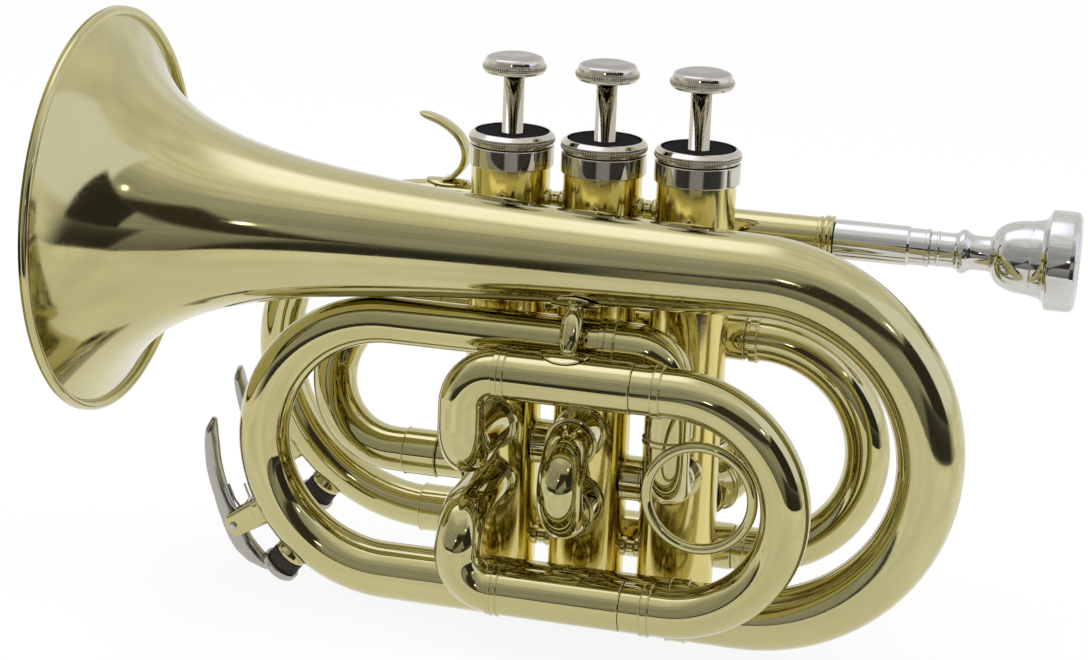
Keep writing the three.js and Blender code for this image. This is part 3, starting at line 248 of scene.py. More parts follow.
def pipe(name, route, outer, inner, edge=None, sides=None, reference=yAxis):
    wall = lambda w: [(0, w), (route.length, w)] if isinstance(w, (int, float)) else list(w)
    outline = wall(outer) + wall(inner)[::-1]
    return loft(name, route, rounded(outline, edge or tubing["edge"], True), sides, reference)


def tubeOn(name, start, way, length, outer, inner, edge=0.2):
    reference = zAxis if abs(way.y) > abs(way.z) else yAxis
    return pipe(name, Route(start, way).straight(length), outer, inner, edge, None, reference)


def turned(name, start, way, outline, edge, sides):
    # An outline that touches the axis is left open there, any other closes to a ring.
    reference = zAxis if abs(way.normalized().y) > 0.9 else yAxis
    route = Route(start, way).straight(max(a for a, _ in outline))
    closed = min(r for _, r in outline) > 0
    return loft(name, route, rounded(outline, edge, closed), sides, reference, closed)


def curveAt(p0, p1, p2, p3, t):
    # The Catmull-Rom curve between p1 and p2.
    return 0.5 * (2 * p1 + (p2 - p0) * t + (2 * p0 - 5 * p1 + 4 * p2 - p3) * t * t
                  + (3 * p1 - p0 - 3 * p2 + p3) * t ** 3)


def smoothPath(points, count):
    # Evenly spaced points on a curve through the given ones.
    steps, ends = 24, [points[0] * 2 - points[1]] + points + [points[-1] * 2 - points[-2]]
    fine = [curveAt(*ends[i - 1:i + 3], k / steps) for i in range(1, len(ends) - 2) for k in range(steps)]
    fine.append(points[-1].copy())
    lengths = [0.0]
    for a, b in zip(fine, fine[1:]):
        lengths.append(lengths[-1] + (b - a).length)
    result, j = [], 0
    for i in range(count):
        want = lengths[-1] * i / (count - 1)
        while j < len(lengths) - 2 and lengths[j + 1] < want:
            j += 1
        span = max(lengths[j + 1] - lengths[j], 1e-9)
        result.append(fine[j].lerp(fine[j + 1], (want - lengths[j]) / span))
    return result


def tableAt(values, share):
    # A value read from an even table, eased between its entries.
    place = share * (len(values) - 1)
    i = min(int(place), len(values) - 2)
    return curveAt(*(values[max(0, min(len(values) - 1, k))] for k in range(i - 1, i + 3)), place - i)


def strip(name, centres, outs, side, halfWidths, halfHeights, power, around):
    # A bar with a soft oblong section: outs point across its thickness, side across its width.
    vertices, rings = [], evenRings(len(centres), around)
    for centre, out, width, height in zip(centres, outs, halfWidths, halfHeights):
        for a in turns(around):
            c, s = math.cos(a), math.sin(a)
            u = math.copysign(abs(c) ** (2 / power), c) * width
            v = math.copysign(abs(s) ** (2 / power), s) * height
            vertices.append(centre + side * u + out * v)
    faces = skin(rings) + [tuple(reversed(rings[0])), tuple(rings[-1])]
    piece = newPiece(name, vertices, faces, 60)
    weld(piece.data)
    return piece


def weld(mesh, distance=0.0, outward=True):
    work = bmesh.new()
    work.from_mesh(mesh)
    if distance:
        bmesh.ops.remove_doubles(work, verts=work.verts, dist=distance)
    if outward:
        bmesh.ops.recalc_face_normals(work, faces=work.faces)
    work.to_mesh(mesh)
    work.free()
    mesh.update()


def feed(tree, node, inputs):
    # Each named input takes a value, or a link from another node's output.
    for key, value in inputs.items():
        if isinstance(value, bpy.types.NodeSocket):
            tree.links.new(value, node.inputs[key])
        else:
            node.inputs[key].default_value = value


def addNode(tree, kind, inputs=None, **settings):
    node = tree.nodes.new(kind)
    for key, value in settings.items():
        setattr(node, key, value)
    feed(tree, node, inputs or {})
    return node


def output(tree, kind, label, inputs=None, **settings):
    return addNode(tree, kind, inputs, **settings).outputs[label]


def maths(tree, operation, first, second=0.0):
    return output(tree, "ShaderNodeMath", 0, {0: first, 1: second}, operation=operation)


def combine(tree, x, y=0.0, z=0.0):
    return output(tree, "ShaderNodeCombineXYZ", "Vector", {"X": x, "Y": y, "Z": z})


def ramp(tree, factor, stops):
    node = addNode(tree, "ShaderNodeValToRGB", {"Fac": factor})
    while len(node.color_ramp.elements) < len(stops):
        node.color_ramp.elements.new(0.5)
    for element, (place, colour) in zip(node.color_ramp.elements, stops):
        element.position = place
        element.color = (*colour, 1)
    return node.outputs["Color"]


def spread(tree, value, low, high, fromLow=0.0, fromHigh=1.0, **settings):
    return output(tree, "ShaderNodeMapRange", "Result", {
        "Value": value, "From Min": fromLow, "From Max": fromHigh, "To Min": low, "To Max": high}, **settings)


def noise(tree, vector, scale, detail=3.0, roughness=0.5):
    return output(tree, "ShaderNodeTexNoise", "Fac", {
        "Vector": vector, "Scale": scale, "Detail": detail, "Roughness": roughness})


def scaled(tree, vector, scale):
    return output(tree, "ShaderNodeMapping", "Vector", {"Vector": vector, "Scale": scale})


def bump(tree, height, strength, distance, under=None):
    return output(tree, "ShaderNodeBump", "Normal", {
        "Height": height, "Strength": strength, "Distance": distance, **({"Normal": under} if under else {})})


def newMaterial(name):
    material = bpy.data.materials.new(name)
    material.use_nodes = True
    tree = material.node_tree
    return material, tree, tree.nodes["Principled BSDF"], output(tree, "ShaderNodeTexCoord", "Object")


polish = {
    "pale": (0.55, 0.505, 0.238), "deep": (0.505, 0.455, 0.196), "cloudScale": 24.0,
    "smearScale": 85.0, "fineScale": 900.0, "roughness": (0.02, 0.075),
    "grain": (18.0, 260.0, 260.0), "grainScale": 9.0, "grainStrength": 0.03,
    "waveScale": 60.0, "waveStrength": 0.02, "lacquer": 0.6,
}
metals = {
    "lacqueredBrass": {},
    "spunBrass": {
        "pale": (0.555, 0.51, 0.25), "deep": (0.51, 0.46, 0.206), "roughness": (0.06, 0.13),
        "grain": (300.0, 30.0, 30.0), "waveScale": 34.0, "waveStrength": 0.03},
    "drawnBrass": {
        "pale": (0.74, 0.64, 0.25), "deep": (0.68, 0.57, 0.19), "roughness": (0.09, 0.17),
        "grain": (420.0, 420.0, 14.0), "grainStrength": 0.16, "waveStrength": 0.01, "lacquer": 0.4},
    "nickelPlate": {
        "pale": (0.66, 0.625, 0.52), "deep": (0.58, 0.545, 0.45), "roughness": (0.03, 0.1),
        "grain": (90.0, 90.0, 400.0), "lacquer": 0.0, "waveStrength": 0.01},
    "brushedNickel": {
        "pale": (0.47, 0.455, 0.415), "deep": (0.37, 0.358, 0.325), "roughness": (0.24, 0.38),
        "grain": (60.0, 520.0, 60.0), "grainStrength": 0.5, "lacquer": 0.0, "waveStrength": 0.01},
    "silverPlate": {
        "pale": (0.65, 0.64, 0.60), "deep": (0.59, 0.58, 0.54), "roughness": (0.03, 0.09),
        "grain": (260.0, 24.0, 24.0), "lacquer": 0.0, "waveStrength": 0.008},
    "satinNickel": {
        "pale": (0.47, 0.45, 0.405), "deep": (0.40, 0.38, 0.335), "roughness": (0.12, 0.25),
        "grain": (90.0, 90.0, 400.0), "grainStrength": 0.12, "lacquer": 0.0, "waveStrength": 0.02},
    "springSteel": {
        "pale": (0.62, 0.62, 0.61), "deep": (0.42, 0.42, 0.42), "roughness": (0.18, 0.34),
        "grain": (200.0, 200.0, 20.0), "lacquer": 0.0, "waveStrength": 0.0},
}
softs = {
    "blackFelt": {
        "grain": (1500.0, 5.0, 0.7), "tuftScale": 260.0, "roughness": (0.9, 1.0), "relief": 0.9,
        "tones": [(0.35, (0.001, 0.001, 0.0014)), (0.75, (0.006, 0.0055, 0.007))],
        "gloss": {"Sheen Weight": 0.03, "Specular IOR Level": 0.04}},
    "darkCork": {
        "grain": (900.0, 4.0, 0.65), "pitScale": 1100.0, "roughness": (0.7, 0.95), "relief": 0.7,
        "tones": [(0.35, (0.010, 0.008, 0.006)), (0.6, (0.034, 0.026, 0.018)), (0.8, (0.075, 0.058, 0.04))],
        "gloss": {}},
}


def metalFinish(name, look):
    # Polished metal: cloudy tone, smears of polish in the gloss, and hairlines along the buffing.
    material, tree, shader, spot = newMaterial(name)
    cloud = noise(tree, spot, look["cloudScale"], 4.0, 0.55)
    smear = noise(tree, spot, look["smearScale"], 5.0, 0.62)
    gloss = maths(tree, "MULTIPLY", smear, noise(tree, spot, look["fineScale"], 2.0))
    hairline = noise(tree, scaled(tree, spot, look["grain"]), look["grainScale"], 2.0, 0.6)
    relief = bump(tree, hairline, look["grainStrength"], 0.00002)
    wave = noise(tree, spot, look["waveScale"], 2.0)
    feed(tree, shader, {
        "Base Color": ramp(tree, cloud, [(0.3, look["deep"]), (0.7, look["pale"])]),
        "Roughness": spread(tree, gloss, *look["roughness"], 0.12, 0.42),
        "Normal": bump(tree, wave, look["waveStrength"], 0.0004, relief),
        "Metallic": 1.0, "Coat Weight": look["lacquer"], "Coat Roughness": 0.03, "Coat IOR": 1.45})
    return material


def softFinish(name, look):
    # Felt or cork: fine grain in the tone, tufts or pits in the gloss, and both in the relief.
    material, tree, shader, spot = newMaterial(name)
    grain = noise(tree, spot, *look["grain"])
    if "pitScale" in look:
        coarse = output(tree, "ShaderNodeTexVoronoi", "Distance", {"Vector": spot, "Scale": look["pitScale"]})
    else:
        coarse = noise(tree, spot, look["tuftScale"])
    feed(tree, shader, {
        "Base Color": ramp(tree, grain, look["tones"]),
        "Roughness": spread(tree, coarse, *look["roughness"]),
        "Normal": bump(tree, maths(tree, "ADD", grain, coarse), look["relief"], 0.0002), **look["gloss"]})
    return material


brass, sheetBrass, drawnBrass, nickel, brushedNickel, silver, satinNickel, steel = (
    metalFinish(name, {**polish, **changes}) for name, changes in metals.items())
felt, cork = (softFinish(name, look) for name, look in softs.items())
print("finishes ready")


def place(piece, body, material, *nodes):
    # The piece takes its finish, rides on its body, and stands for its CAD nodes.
    piece.data.materials.clear()
    piece.data.materials.append(material)
    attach(piece, body)
    if nodes:
        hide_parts(*nodes)


def onHorn(piece, *nodes):
    place(piece, "horn", brass, *nodes)


def newTree(name, inputs):
    tree = bpy.data.node_groups.new(name, "GeometryNodeTree")
    tree.interface.new_socket("Geometry", in_out="INPUT", socket_type="NodeSocketGeometry")
    kinds = {int: "NodeSocketInt", float: "NodeSocketFloat"}
    for label, value in inputs.items():
        kind = kinds.get(type(value), "NodeSocketMaterial")
        socket = tree.interface.new_socket(label, in_out="INPUT", socket_type=kind)
        if kind != "NodeSocketMaterial":
            socket.default_value = value
    tree.interface.new_socket("Geometry", in_out="OUTPUT", socket_type="NodeSocketGeometry")
    return tree, tree.nodes.new("NodeGroupInput").outputs


def closeTree(tree, source, shape, inputs=None):
    # The shape stands on each site, becomes real and takes its finish.
    shape = output(tree, "GeometryNodeInstanceOnPoints", "Instances", {
        "Points": source["Geometry"], "Instance": shape, **(inputs or {})})
    shape = output(tree, "GeometryNodeRealizeInstances", "Geometry", {"Geometry": shape})
    shape = output(tree, "GeometryNodeSetShadeSmooth", "Geometry", {"Geometry": shape, "Shade Smooth": True})
    shape = output(tree, "GeometryNodeSetMaterial", "Geometry", {"Geometry": shape, "Material": source["Finish"]})
    addNode(tree, "NodeGroupOutput", {"Geometry": shape})
    return tree


def bakeTree(name, tree, values, sites, ways=None, sizes=None):
    # The tree runs on a mesh of site points, and its result becomes a plain mesh.
    mesh = newMesh(name, [tuple(Vector(s) * mm) for s in sites])
    if ways:
        mesh.attributes.new("way", "FLOAT_VECTOR", "POINT").data.foreach_set("vector", [c for w in ways for c in w])
    if sizes:
        mesh.attributes.new("size", "FLOAT", "POINT").data.foreach_set("value", [s * mm for s in sizes])
    piece = addObject(name, mesh)
    modifier = piece.modifiers.new("shape", "NODES")
    modifier.node_group = tree
    for item in tree.interface.items_tree:
        if item.in_out == "INPUT" and item.name in values:
            modifier[item.identifier] = values[item.name]
    graph = bpy.context.evaluated_depsgraph_get()
    final = bpy.data.meshes.new_from_object(piece.evaluated_get(graph), depsgraph=graph)
    piece.modifiers.clear()
    piece.data = final
    return piece


def wireAlong(tree, curve, sides, radius, capped):
    wire = output(tree, "GeometryNodeCurvePrimitiveCircle", "Curve", {"Resolution": sides, "Radius": radius})
    return output(tree, "GeometryNodeCurveToMesh", "Mesh", {"Curve": curve, "Profile Curve": wire, "Fill Caps": capped})


def wireHoop(tree, around, radius, wireSides, wireRadius):
    hoop = output(tree, "GeometryNodeCurvePrimitiveCircle", "Curve", {"Resolution": around, "Radius": radius})
    return wireAlong(tree, hoop, wireSides, wireRadius, False)


def alongWay(tree):
    # A turn that lays an instance's Z along its site's way.
    way = output(tree, "GeometryNodeInputNamedAttribute", "Attribute", {"Name": "way"}, data_type="FLOAT_VECTOR")
    return output(tree, "FunctionNodeAlignRotationToVector", "Rotation", {"Vector": way}, axis="Z")


def knurlTree():
    # Fine upright teeth round each site, as on a cap's or a button's gripping edge.
    tree, source = newTree("knurl", {
        "Teeth": 90, "Ring Radius": 0.0118, "Tooth Width": 0.0008, "Tooth Height": 0.0014, "Finish": brass})
    circle = output(tree, "GeometryNodeMeshCircle", "Mesh", {
        "Vertices": source["Teeth"], "Radius": source["Ring Radius"]})
    tooth = output(tree, "GeometryNodeMeshUVSphere", "Mesh", {"Segments": 6, "Rings": 6})
    across = maths(tree, "MULTIPLY", source["Tooth Width"], 0.5)
    high = maths(tree, "MULTIPLY", source["Tooth Height"], 0.5)
    spot = output(tree, "GeometryNodeInputPosition", "Position")
    turn = output(tree, "FunctionNodeAlignRotationToVector", "Rotation", {"Vector": spot}, axis="X")
    ring = output(tree, "GeometryNodeInstanceOnPoints", "Instances", {
        "Points": circle, "Instance": tooth, "Rotation": turn, "Scale": combine(tree, across, across, high)})
    return closeTree(tree, source, ring)


def beadTree():
    # A thin raised ring round a tube at each site, across the way the tube runs.
    tree, source = newTree("bead", {"Wire Share": 0.045, "Around": 64, "Finish": brass})
    ring = wireHoop(tree, source["Around"], 1.0, 10, source["Wire Share"])
    size = output(tree, "GeometryNodeInputNamedAttribute", "Attribute", {"Name": "size"}, data_type="FLOAT")
    return closeTree(tree, source, ring, {"Rotation": alongWay(tree), "Scale": size})


def coilTree():
    # A wire coil that stands on each site along its way.
    tree, source = newTree("coil", {
        "Turns": 8.0, "Coil Radius": 0.006, "Coil Length": 0.03, "Wire Radius": 0.00045,
        "Turn Points": 28, "Finish": brass})
    spiral = output(tree, "GeometryNodeCurveSpiral", "Curve", {
        "Resolution": source["Turn Points"], "Rotations": source["Turns"], "Start Radius": source["Coil Radius"],
        "End Radius": source["Coil Radius"], "Height": source["Coil Length"]})
    body = wireAlong(tree, spiral, 8, source["Wire Radius"], True)
    return closeTree(tree, source, body, {"Rotation": alongWay(tree)})


def flareTree():
    # The bell's rule: its radius past the throat grows as one over the distance from a point in front of the rim.
    tree, source = newTree("flare", {
        "Rim Radius": 0.0561, "Throat Radius": 0.006, "Flare Offset": 0.0202, "Length": 0.1827,
        "Wall": 0.0009, "Bead Radius": 0.0012, "Stations": 160, "Around": 128, "Finish": brass})
    rim, throat, offset, length, wall, beadRadius, stations, around = list(source)[1:9]
    do = lambda operation, first, second=0.0: maths(tree, operation, first, second)
    grid = output(tree, "GeometryNodeMeshGrid", "Mesh", {
        "Size X": 1.0, "Size Y": 1.0, "Vertices X": stations, "Vertices Y": do("ADD", around, 1.0)})
    spot = addNode(tree, "ShaderNodeSeparateXYZ", {
        "Vector": output(tree, "GeometryNodeInputPosition", "Position")}).outputs
    # The grid folds at the small end: one half is the outer wall, the other the inner, and both reach the rim.
    fold = do("ABSOLUTE", do("MULTIPLY", spot["X"], 2.0))
    reach = do("DIVIDE", do("SUBTRACT", stations, 1.0), do("SUBTRACT", stations, 2.0))
    share = do("MULTIPLY", do("SUBTRACT", 1.0, fold), reach)
    distance = do("MULTIPLY", do("POWER", share, 2.0), length)
    rule = do("DIVIDE", do("MULTIPLY", do("SUBTRACT", rim, throat), offset), do("ADD", distance, offset))
    inside = do("GREATER_THAN", spot["X"], 0.0)
    taper = do("MINIMUM", do("MULTIPLY", share, 30.0), 1.0)
    depth = do("MULTIPLY", do("MULTIPLY", inside, wall), taper)
    radius = do("SUBTRACT", do("ADD", throat, rule), depth)
    angle = do("MULTIPLY", spot["Y"], 2 * math.pi)
    y, z = (do("MULTIPLY", radius, do(part, angle)) for part in ("COSINE", "SINE"))
    moved = output(tree, "GeometryNodeSetPosition", "Geometry", {
        "Geometry": grid, "Position": combine(tree, distance, y, z)})
    sealed = output(tree, "GeometryNodeMergeByDistance", "Geometry", {"Geometry": moved, "Distance": 0.000004})
    stood = output(tree, "GeometryNodeTransform", "Geometry", {
        "Geometry": wireHoop(tree, around, do("SUBTRACT", rim, beadRadius), 16, beadRadius),
        "Rotation": (0.0, math.pi / 2, 0.0), "Translation": combine(tree, beadRadius)})
    both = addNode(tree, "GeometryNodeJoinGeometry")
    for shape in (sealed, stood):
        tree.links.new(shape, both.inputs["Geometry"])
    return closeTree(tree, source, both.outputs["Geometry"])


knurl, bead, coil, flare = knurlTree(), beadTree(), coilTree(), flareTree()
print("node trees ready")

beadSites = {}


def markBead(body, centre, way, radius):
    beadSites.setdefault(body, []).append((Vector(centre), Vector(way).normalized(), radius))


def ferrule(name, body, route, start, length, inner, outer=None, rings=None):
    # A short collar on a joint, with a thin raised ring at each edge or where rings says.
    outer, edge, inset = outer or tubing["ferrule"], 0.12, tubing["beadInset"]
    outline = band(inner, outer - edge, length, start)
    place(loft(name, route, rounded(outline, edge, True)), body, brass)
    for d in (inset, length - inset) if rings is None else rings:
        centre, along = route.at(start + d)
        markBead(body, centre, along, outer - edge * 0.6)


def collar(name, start, length, inner, rings=None):
    # A ferrule on a fixed tube that runs along X.
    ferrule(name, "horn", Route(start, xAxis).straight(length), 0.0, length, inner, None, rings)


valve = {
    "spacing": 26.0, "casing": 10.85, "bore": 9.25, "half": 62.0, "collar": 11.7, "collarLength": 5.5,
    "portCollar": 7.5, "portCollarLength": 1.5, "portEnd": 0.6, "sleeveEnd": 1.6, "root": 0.9, "shortCrook": 6.3,
    "inletX": -43.7, "inletHeight": -30.7,
    "spool": 1.7, "spoolFlange": 2.7, "spoolRim": (1.7, 2.1), "spoolHeights": (47.5, -51.5),
}
valveAt = {1: 26.0, 2: 0.0, 3: -26.0}
shortPorts = (-14.9, -35.1)
slant = math.radians(61)
firstWay = Vector((math.cos(slant), math.sin(slant), 0))
shortSlides = {
    2: {"label": "second", "way": -yAxis, "shift": -0.6, "sleeve": 11.4, "leg": 10.5},
    1: {"label": "first", "way": firstWay, "shift": 0.0, "sleeve": 7.2, "leg": 7.0},
}


def onValve(label, number, z, outline, edge, material, node, body="horn", sides=96):
    # A turned piece on a valve's own axis.
    piece = turned(f"{label}{number}", (valveAt[number], 0, z), zAxis, outline, edge, sides)
    place(piece, body, material, f"{node}_{number}")
    return piece


def casing(number):
    x, v, t, node = valveAt[number], valve, tubing, f"casing_{number}"
    neck = v["half"] - v["collarLength"]
    wall, collarWall = band(v["bore"], v["casing"], neck + v["half"]), band(v["bore"], v["collar"], v["collarLength"])
    onValve("valveCasing", number, -v["half"], wall, 0.2, drawnBrass, "casing")
    onValve("casingCollar", number, neck, collarWall, 0.3, nickel, "casing")
    if number in shortSlides:
        s = shortSlides[number]
        way, reach = s["way"], s["sleeve"] + v["root"]
        for where, height in zip(("Upper", "Lower"), shortPorts):
            start = Vector((x + s["shift"], 0, height)) + way * (v["casing"] - v["root"])
            outer = stepped(reach, (0, v["portCollar"]), (v["root"] + v["portCollarLength"], t["sleeve"]),
                            (reach - v["sleeveEnd"], t["ferrule"]))
            onHorn(tubeOn(f"{s['label']}Sleeve{where}", start, way, reach, outer, t["sleeveBore"]), node)
            markBead("horn", start + way * (reach - t["beadInset"]), way, t["ferrule"] + 0.02)
    if number == 3:
        start = Vector((v["inletX"], 0, v["inletHeight"]))
        length = x - v["inletX"] - v["casing"] + v["root"]
        onHorn(tubeOn("inletStub", start, xAxis, length, t["tube"], t["bore"]), node)
    if x:
        middle, half = math.copysign(v["spacing"] / 2, x), v["spacing"] / 2 - v["casing"] + v["root"]
        flange, thin, (rim, waist) = v["spoolFlange"], v["spool"], v["spoolRim"]
        outline = [(0, 0), (0, flange), (rim, flange), (waist, thin), (2 * half - waist, thin),
                   (2 * half - rim, flange), (2 * half, flange), (2 * half, 0)]
        for where, height in zip(("Upper", "Lower"), v["spoolHeights"]):
            onHorn(turned(f"spool{where}{number}", (middle - half, 0, height), xAxis, outline, 0.3, 32), node)


# A knurl is: teeth, ring radius, tooth width, tooth height, and its height above the cap's or button's base.
cap = {
    "base": 62.3, "height": 3.5, "outer": 11.9, "lip": 10.5, "root": 11.42, "recess": 2.4, "recessRadius": 10.2,
    "skirt": 3.6, "skirtOuter": 8.95, "skirtInner": 8.2, "knurl": (104, 11.6, 0.62, 1.15, 1.3),
    "felt": 9.9, "feltTop": 65.55, "feltThickness": 1.85, "hole": 3.2,
    "bottomOuter": 11.5, "bottomInner": 7.75, "bottomHeight": 4.4, "dome": 2.6, "nub": 3.0,
    "bottomKnurl": (96, 11.2, 0.6, 1.7, 1.4),
}


def topCap(number):
    c = cap
    top, outer, root, skirt = c["height"], c["outer"], c["root"], c["skirt"]
    seat = top - c["recess"]
    outline = [
        (0, c["hole"]), (0, c["skirtInner"]), (-skirt, c["skirtInner"]), (-skirt, c["skirtOuter"]),
        (0, c["skirtOuter"]), (0, outer - 0.6), (0.35, root - 0.1), (0.45, root), (2.0, root), (2.05, outer - 0.15),
        (2.35, outer - 0.1), (2.6, outer - 0.4), (top - 0.3, 10.95), (top, c["lip"]), (top, c["recessRadius"]),
        (seat, c["recessRadius"]), (seat, c["hole"])]
    shifted = [(a + skirt, r) for a, r in outline]
    onValve("topCap", number, c["base"] - skirt, shifted, 0.16, nickel, "top_cap")
    feltWall = band(c["hole"], c["felt"], c["feltThickness"])
    onValve("capFelt", number, c["feltTop"] - c["feltThickness"], feltWall, 0.55, felt, "cap_felt", sides=72)


button = {
    "base": 81.6, "height": 5.3, "foot": 8.3, "ridge": 8.75, "root": 8.5, "shoulder": 8.0,
    "face": 7.3, "boss": 4.2, "socket": 3.2, "socketDepth": 2.7, "dish": 0.35, "brushedFrom": 4.5,
    "knurl": (84, 8.5, 0.58, 1.25, 1.95),
}


def fingerButton(number):
    b = button
    h, foot, root, shoulder, face, boss = (b[k] for k in ("height", "foot", "root", "shoulder", "face", "boss"))
    outline = [
        (b["socketDepth"], 0), (b["socketDepth"], b["socket"]), (0, b["socket"]), (0, boss), (0.25, boss + 0.4),
        (0.25, foot - 0.5), (0.45, foot - 0.1), (1.0, foot), (1.15, b["ridge"] - 0.1), (1.3, root), (2.6, root),
        (2.72, b["ridge"] - 0.1), (2.84, shoulder + 0.08), (3.1, shoulder + 0.16), (3.85, shoulder),
        (4.3, face + 0.42), (4.6, face), (4.95, face - 1.0), (h - 0.08, boss + 1.2), (h, boss),
        (h - b["dish"] * 0.5, boss - 1.8), (h - b["dish"], 0)]
    piece = onValve("button", number, b["base"], outline, 0.3, nickel, "button", f"valve_{number}")
    piece.data.materials.append(brushedNickel)
    for side in piece.data.polygons:
        if side.center.z > (b["base"] + b["brushedFrom"]) * mm:
            side.material_index = 1


def bottomCap(number):
    c = cap
    base, outer, skirt, nub = -c["base"], c["bottomOuter"], c["skirtOuter"], c["nub"]
    low = base - c["bottomHeight"]
    start = low - c["dome"]
    outline = [
        (start, 0), (start, nub - 0.5), (low - 2.0, nub), (low - 1.5, nub), (low - 1.1, nub + 0.8),
        (low - 0.9, skirt - 1.2), (low - 0.4, skirt + 0.9), (low + 0.2, outer - 0.55), (low + 0.6, outer - 0.2),
        (low + 2.2, outer - 0.2), (low + 2.5, outer - 0.45), (low + 3.0, outer - 0.45), (low + 3.3, outer - 0.1),
        (base, outer - 0.1), (base, skirt), (base + c["skirt"], skirt), (base + c["skirt"], c["bottomInner"]),
        (low + 0.9, c["bottomInner"]), (low + 0.9, 0)]
    onValve("bottomCap", number, start, [(z - start, r) for z, r in outline], 0.2, nickel, "bottom_cap")


def addKnurl(name, body, values, places, base):
    teeth, ring, width, height, level = values
    piece = bakeTree(name, knurl, {
        "Teeth": teeth, "Ring Radius": ring * mm, "Tooth Width": width * mm, "Tooth Height": height * mm,
        "Finish": nickel}, [(x, 0, base + level) for x in places])
    place(piece, body, nickel)


def smoothCopy(name, node, body, material):
    # A smoothly shaded copy of a CAD piece that mostly stays out of sight.
    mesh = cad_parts[node].data.copy()
    mesh.name = name
    weld(mesh, 1e-6, False)
    mesh.shade_smooth()
    mesh.set_sharp_from_angle(angle=math.radians(30))
    place(addObject(name, mesh), body, material, node)


spring = {"turns": 8.0, "radius": 5.2, "bottom": 13.15, "top": 57.45, "wire": 0.45, "stroke": 16.0}


def pistonParts(number):
    x, s = valveAt[number], spring
    smoothCopy(f"piston{number}", f"piston_{number}", f"valve_{number}", nickel)
    smoothCopy(f"pistonGuide{number}", f"valve_guide_{number}", "horn", nickel)
    length = s["top"] - s["bottom"]
    wire = bakeTree(f"valveSpring{number}", coil, {
        "Turns": s["turns"], "Coil Radius": s["radius"] * mm, "Coil Length": length * mm,
        "Wire Radius": s["wire"] * mm, "Finish": steel}, [(x, 0, s["bottom"])], [(0, 0, 1)])
    place(wire, "horn", steel, f"valve_spring_{number}")
    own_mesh(wire)


interport = {"length": 6.0, "bead": 2.4, "at": {"Upper": (-13, -23, "23"), "Lower": (13, -30.7, "12")}}

for number in (3, 2, 1):
    casing(number)
    topCap(number)
    fingerButton(number)
    bottomCap(number)
    pistonParts(number)
    addKnurl(f"buttonKnurl{number}", f"valve_{number}", button["knurl"], [valveAt[number]], button["base"])
addKnurl("capKnurl", "horn", cap["knurl"], valveAt.values(), cap["base"])
addKnurl("bottomCapKnurl", "horn", cap["bottomKnurl"], valveAt.values(), -cap["base"] - cap["bottomHeight"])
for where, (x, height, pair) in interport["at"].items():
    start, length = Vector((x - interport["length"] / 2, 0, height)), interport["length"]
    joint = tubeOn("interport" + where, start, xAxis, length, tubing["tube"], tubing["bore"], 0.05)
    onHorn(joint, f"interport_{pair}")
    for side in (-1, 1):
        markBead("horn", (x + side * interport["bead"], 0, height), xAxis, tubing["tube"] + 0.1)
print("valves ready")


# A ferrule or collar is: length, radius of the tube in it, then its own radius or the places of its rings.
bell = {
    "rimX": -133.7, "endX": 49.0, "rim": 56.1, "throat": 6.0, "offset": 20.2, "wall": 0.9, "bead": 1.2,
    "stations": 160, "around": 128, "bowMiddle": 8.8, "bowEnd": 8.25, "jointX": 30.0, "ferrule": (5.6, 8.2, 8.72),
}
bellBowRadius = (planes["bellHeight"] - planes["bellReturn"]) / 2
tailRadius = (planes["tailLeg"] - planes["bellReturn"]) / 2


def flareRadius(distance):
    return bell["throat"] + (bell["rim"] - bell["throat"]) * bell["offset"] / (distance + bell["offset"])


def bellAndBow():
    # The bow grows out of the bell's small end in one skin.
    b = bell
    horn = bakeTree("bellFlare", flare, {
        "Rim Radius": b["rim"] * mm, "Throat Radius": b["throat"] * mm, "Flare Offset": b["offset"] * mm,
        "Length": (b["endX"] - b["rimX"]) * mm, "Wall": b["wall"] * mm, "Bead Radius": b["bead"] * mm,
        "Stations": b["stations"], "Around": b["around"], "Finish": sheetBrass},
        [onPlanes(b["rimX"], "bell", "bellHeight")])
    route = Route(onPlanes(b["endX"], "bell", "bellHeight"), xAxis).bend(-zAxis, bellBowRadius, 180)
    arc = route.length
    route.straight(b["endX"] - b["jointX"])
    outer = [(0, flareRadius(b["endX"] - b["rimX"])), (arc / 2, b["bowMiddle"]), (route.length, b["bowEnd"])]
    inner = [(d, r - b["wall"]) for d, r in outer]
    bow = loft("bellBow", route, rounded(outer + inner[::-1], 0.12), b["around"], yAxis, False)
    whole = bmesh.new()
    whole.from_mesh(horn.data)
    last = (b["endX"] - 0.01) * mm
    ends = [f for f in whole.faces if all(v.co.x > last for v in f.verts)]
    bmesh.ops.delete(whole, geom=ends, context="FACES_ONLY")
    whole.from_mesh(bow.data)
    whole.to_mesh(horn.data)
    whole.free()
    bpy.data.objects.remove(bow)
    weld(horn.data, 5e-6)
    horn.data.set_sharp_from_angle(angle=math.radians(44))
    place(horn, "horn", sheetBrass, "bell", "bell_bow")
    ferrule("bellBowFerrule", "horn", route, route.length - b["ferrule"][0], *b["ferrule"])


tail = {
    "arcX": -51.0, "endX": 8.3, "radii": (8.25, 7.95, 7.15, 6.45), "bores": (7.35, 5.85), "elbowX": 27.2,
    "elbowRadius": 10.4, "elbowBore": 5.55, "sleeveFoot": -9.6, "portHeight": -24.0, "portRadius": 9.6,
    "ferruleX": 7.9, "ferrule": (4.5, 6.4, (1.7, 4.1)), "sleeveFerrule": (1.9, 6.4, 6.95),
    "collarBack": 2.3, "collar": (1.9, 5.9, 7.2),
}


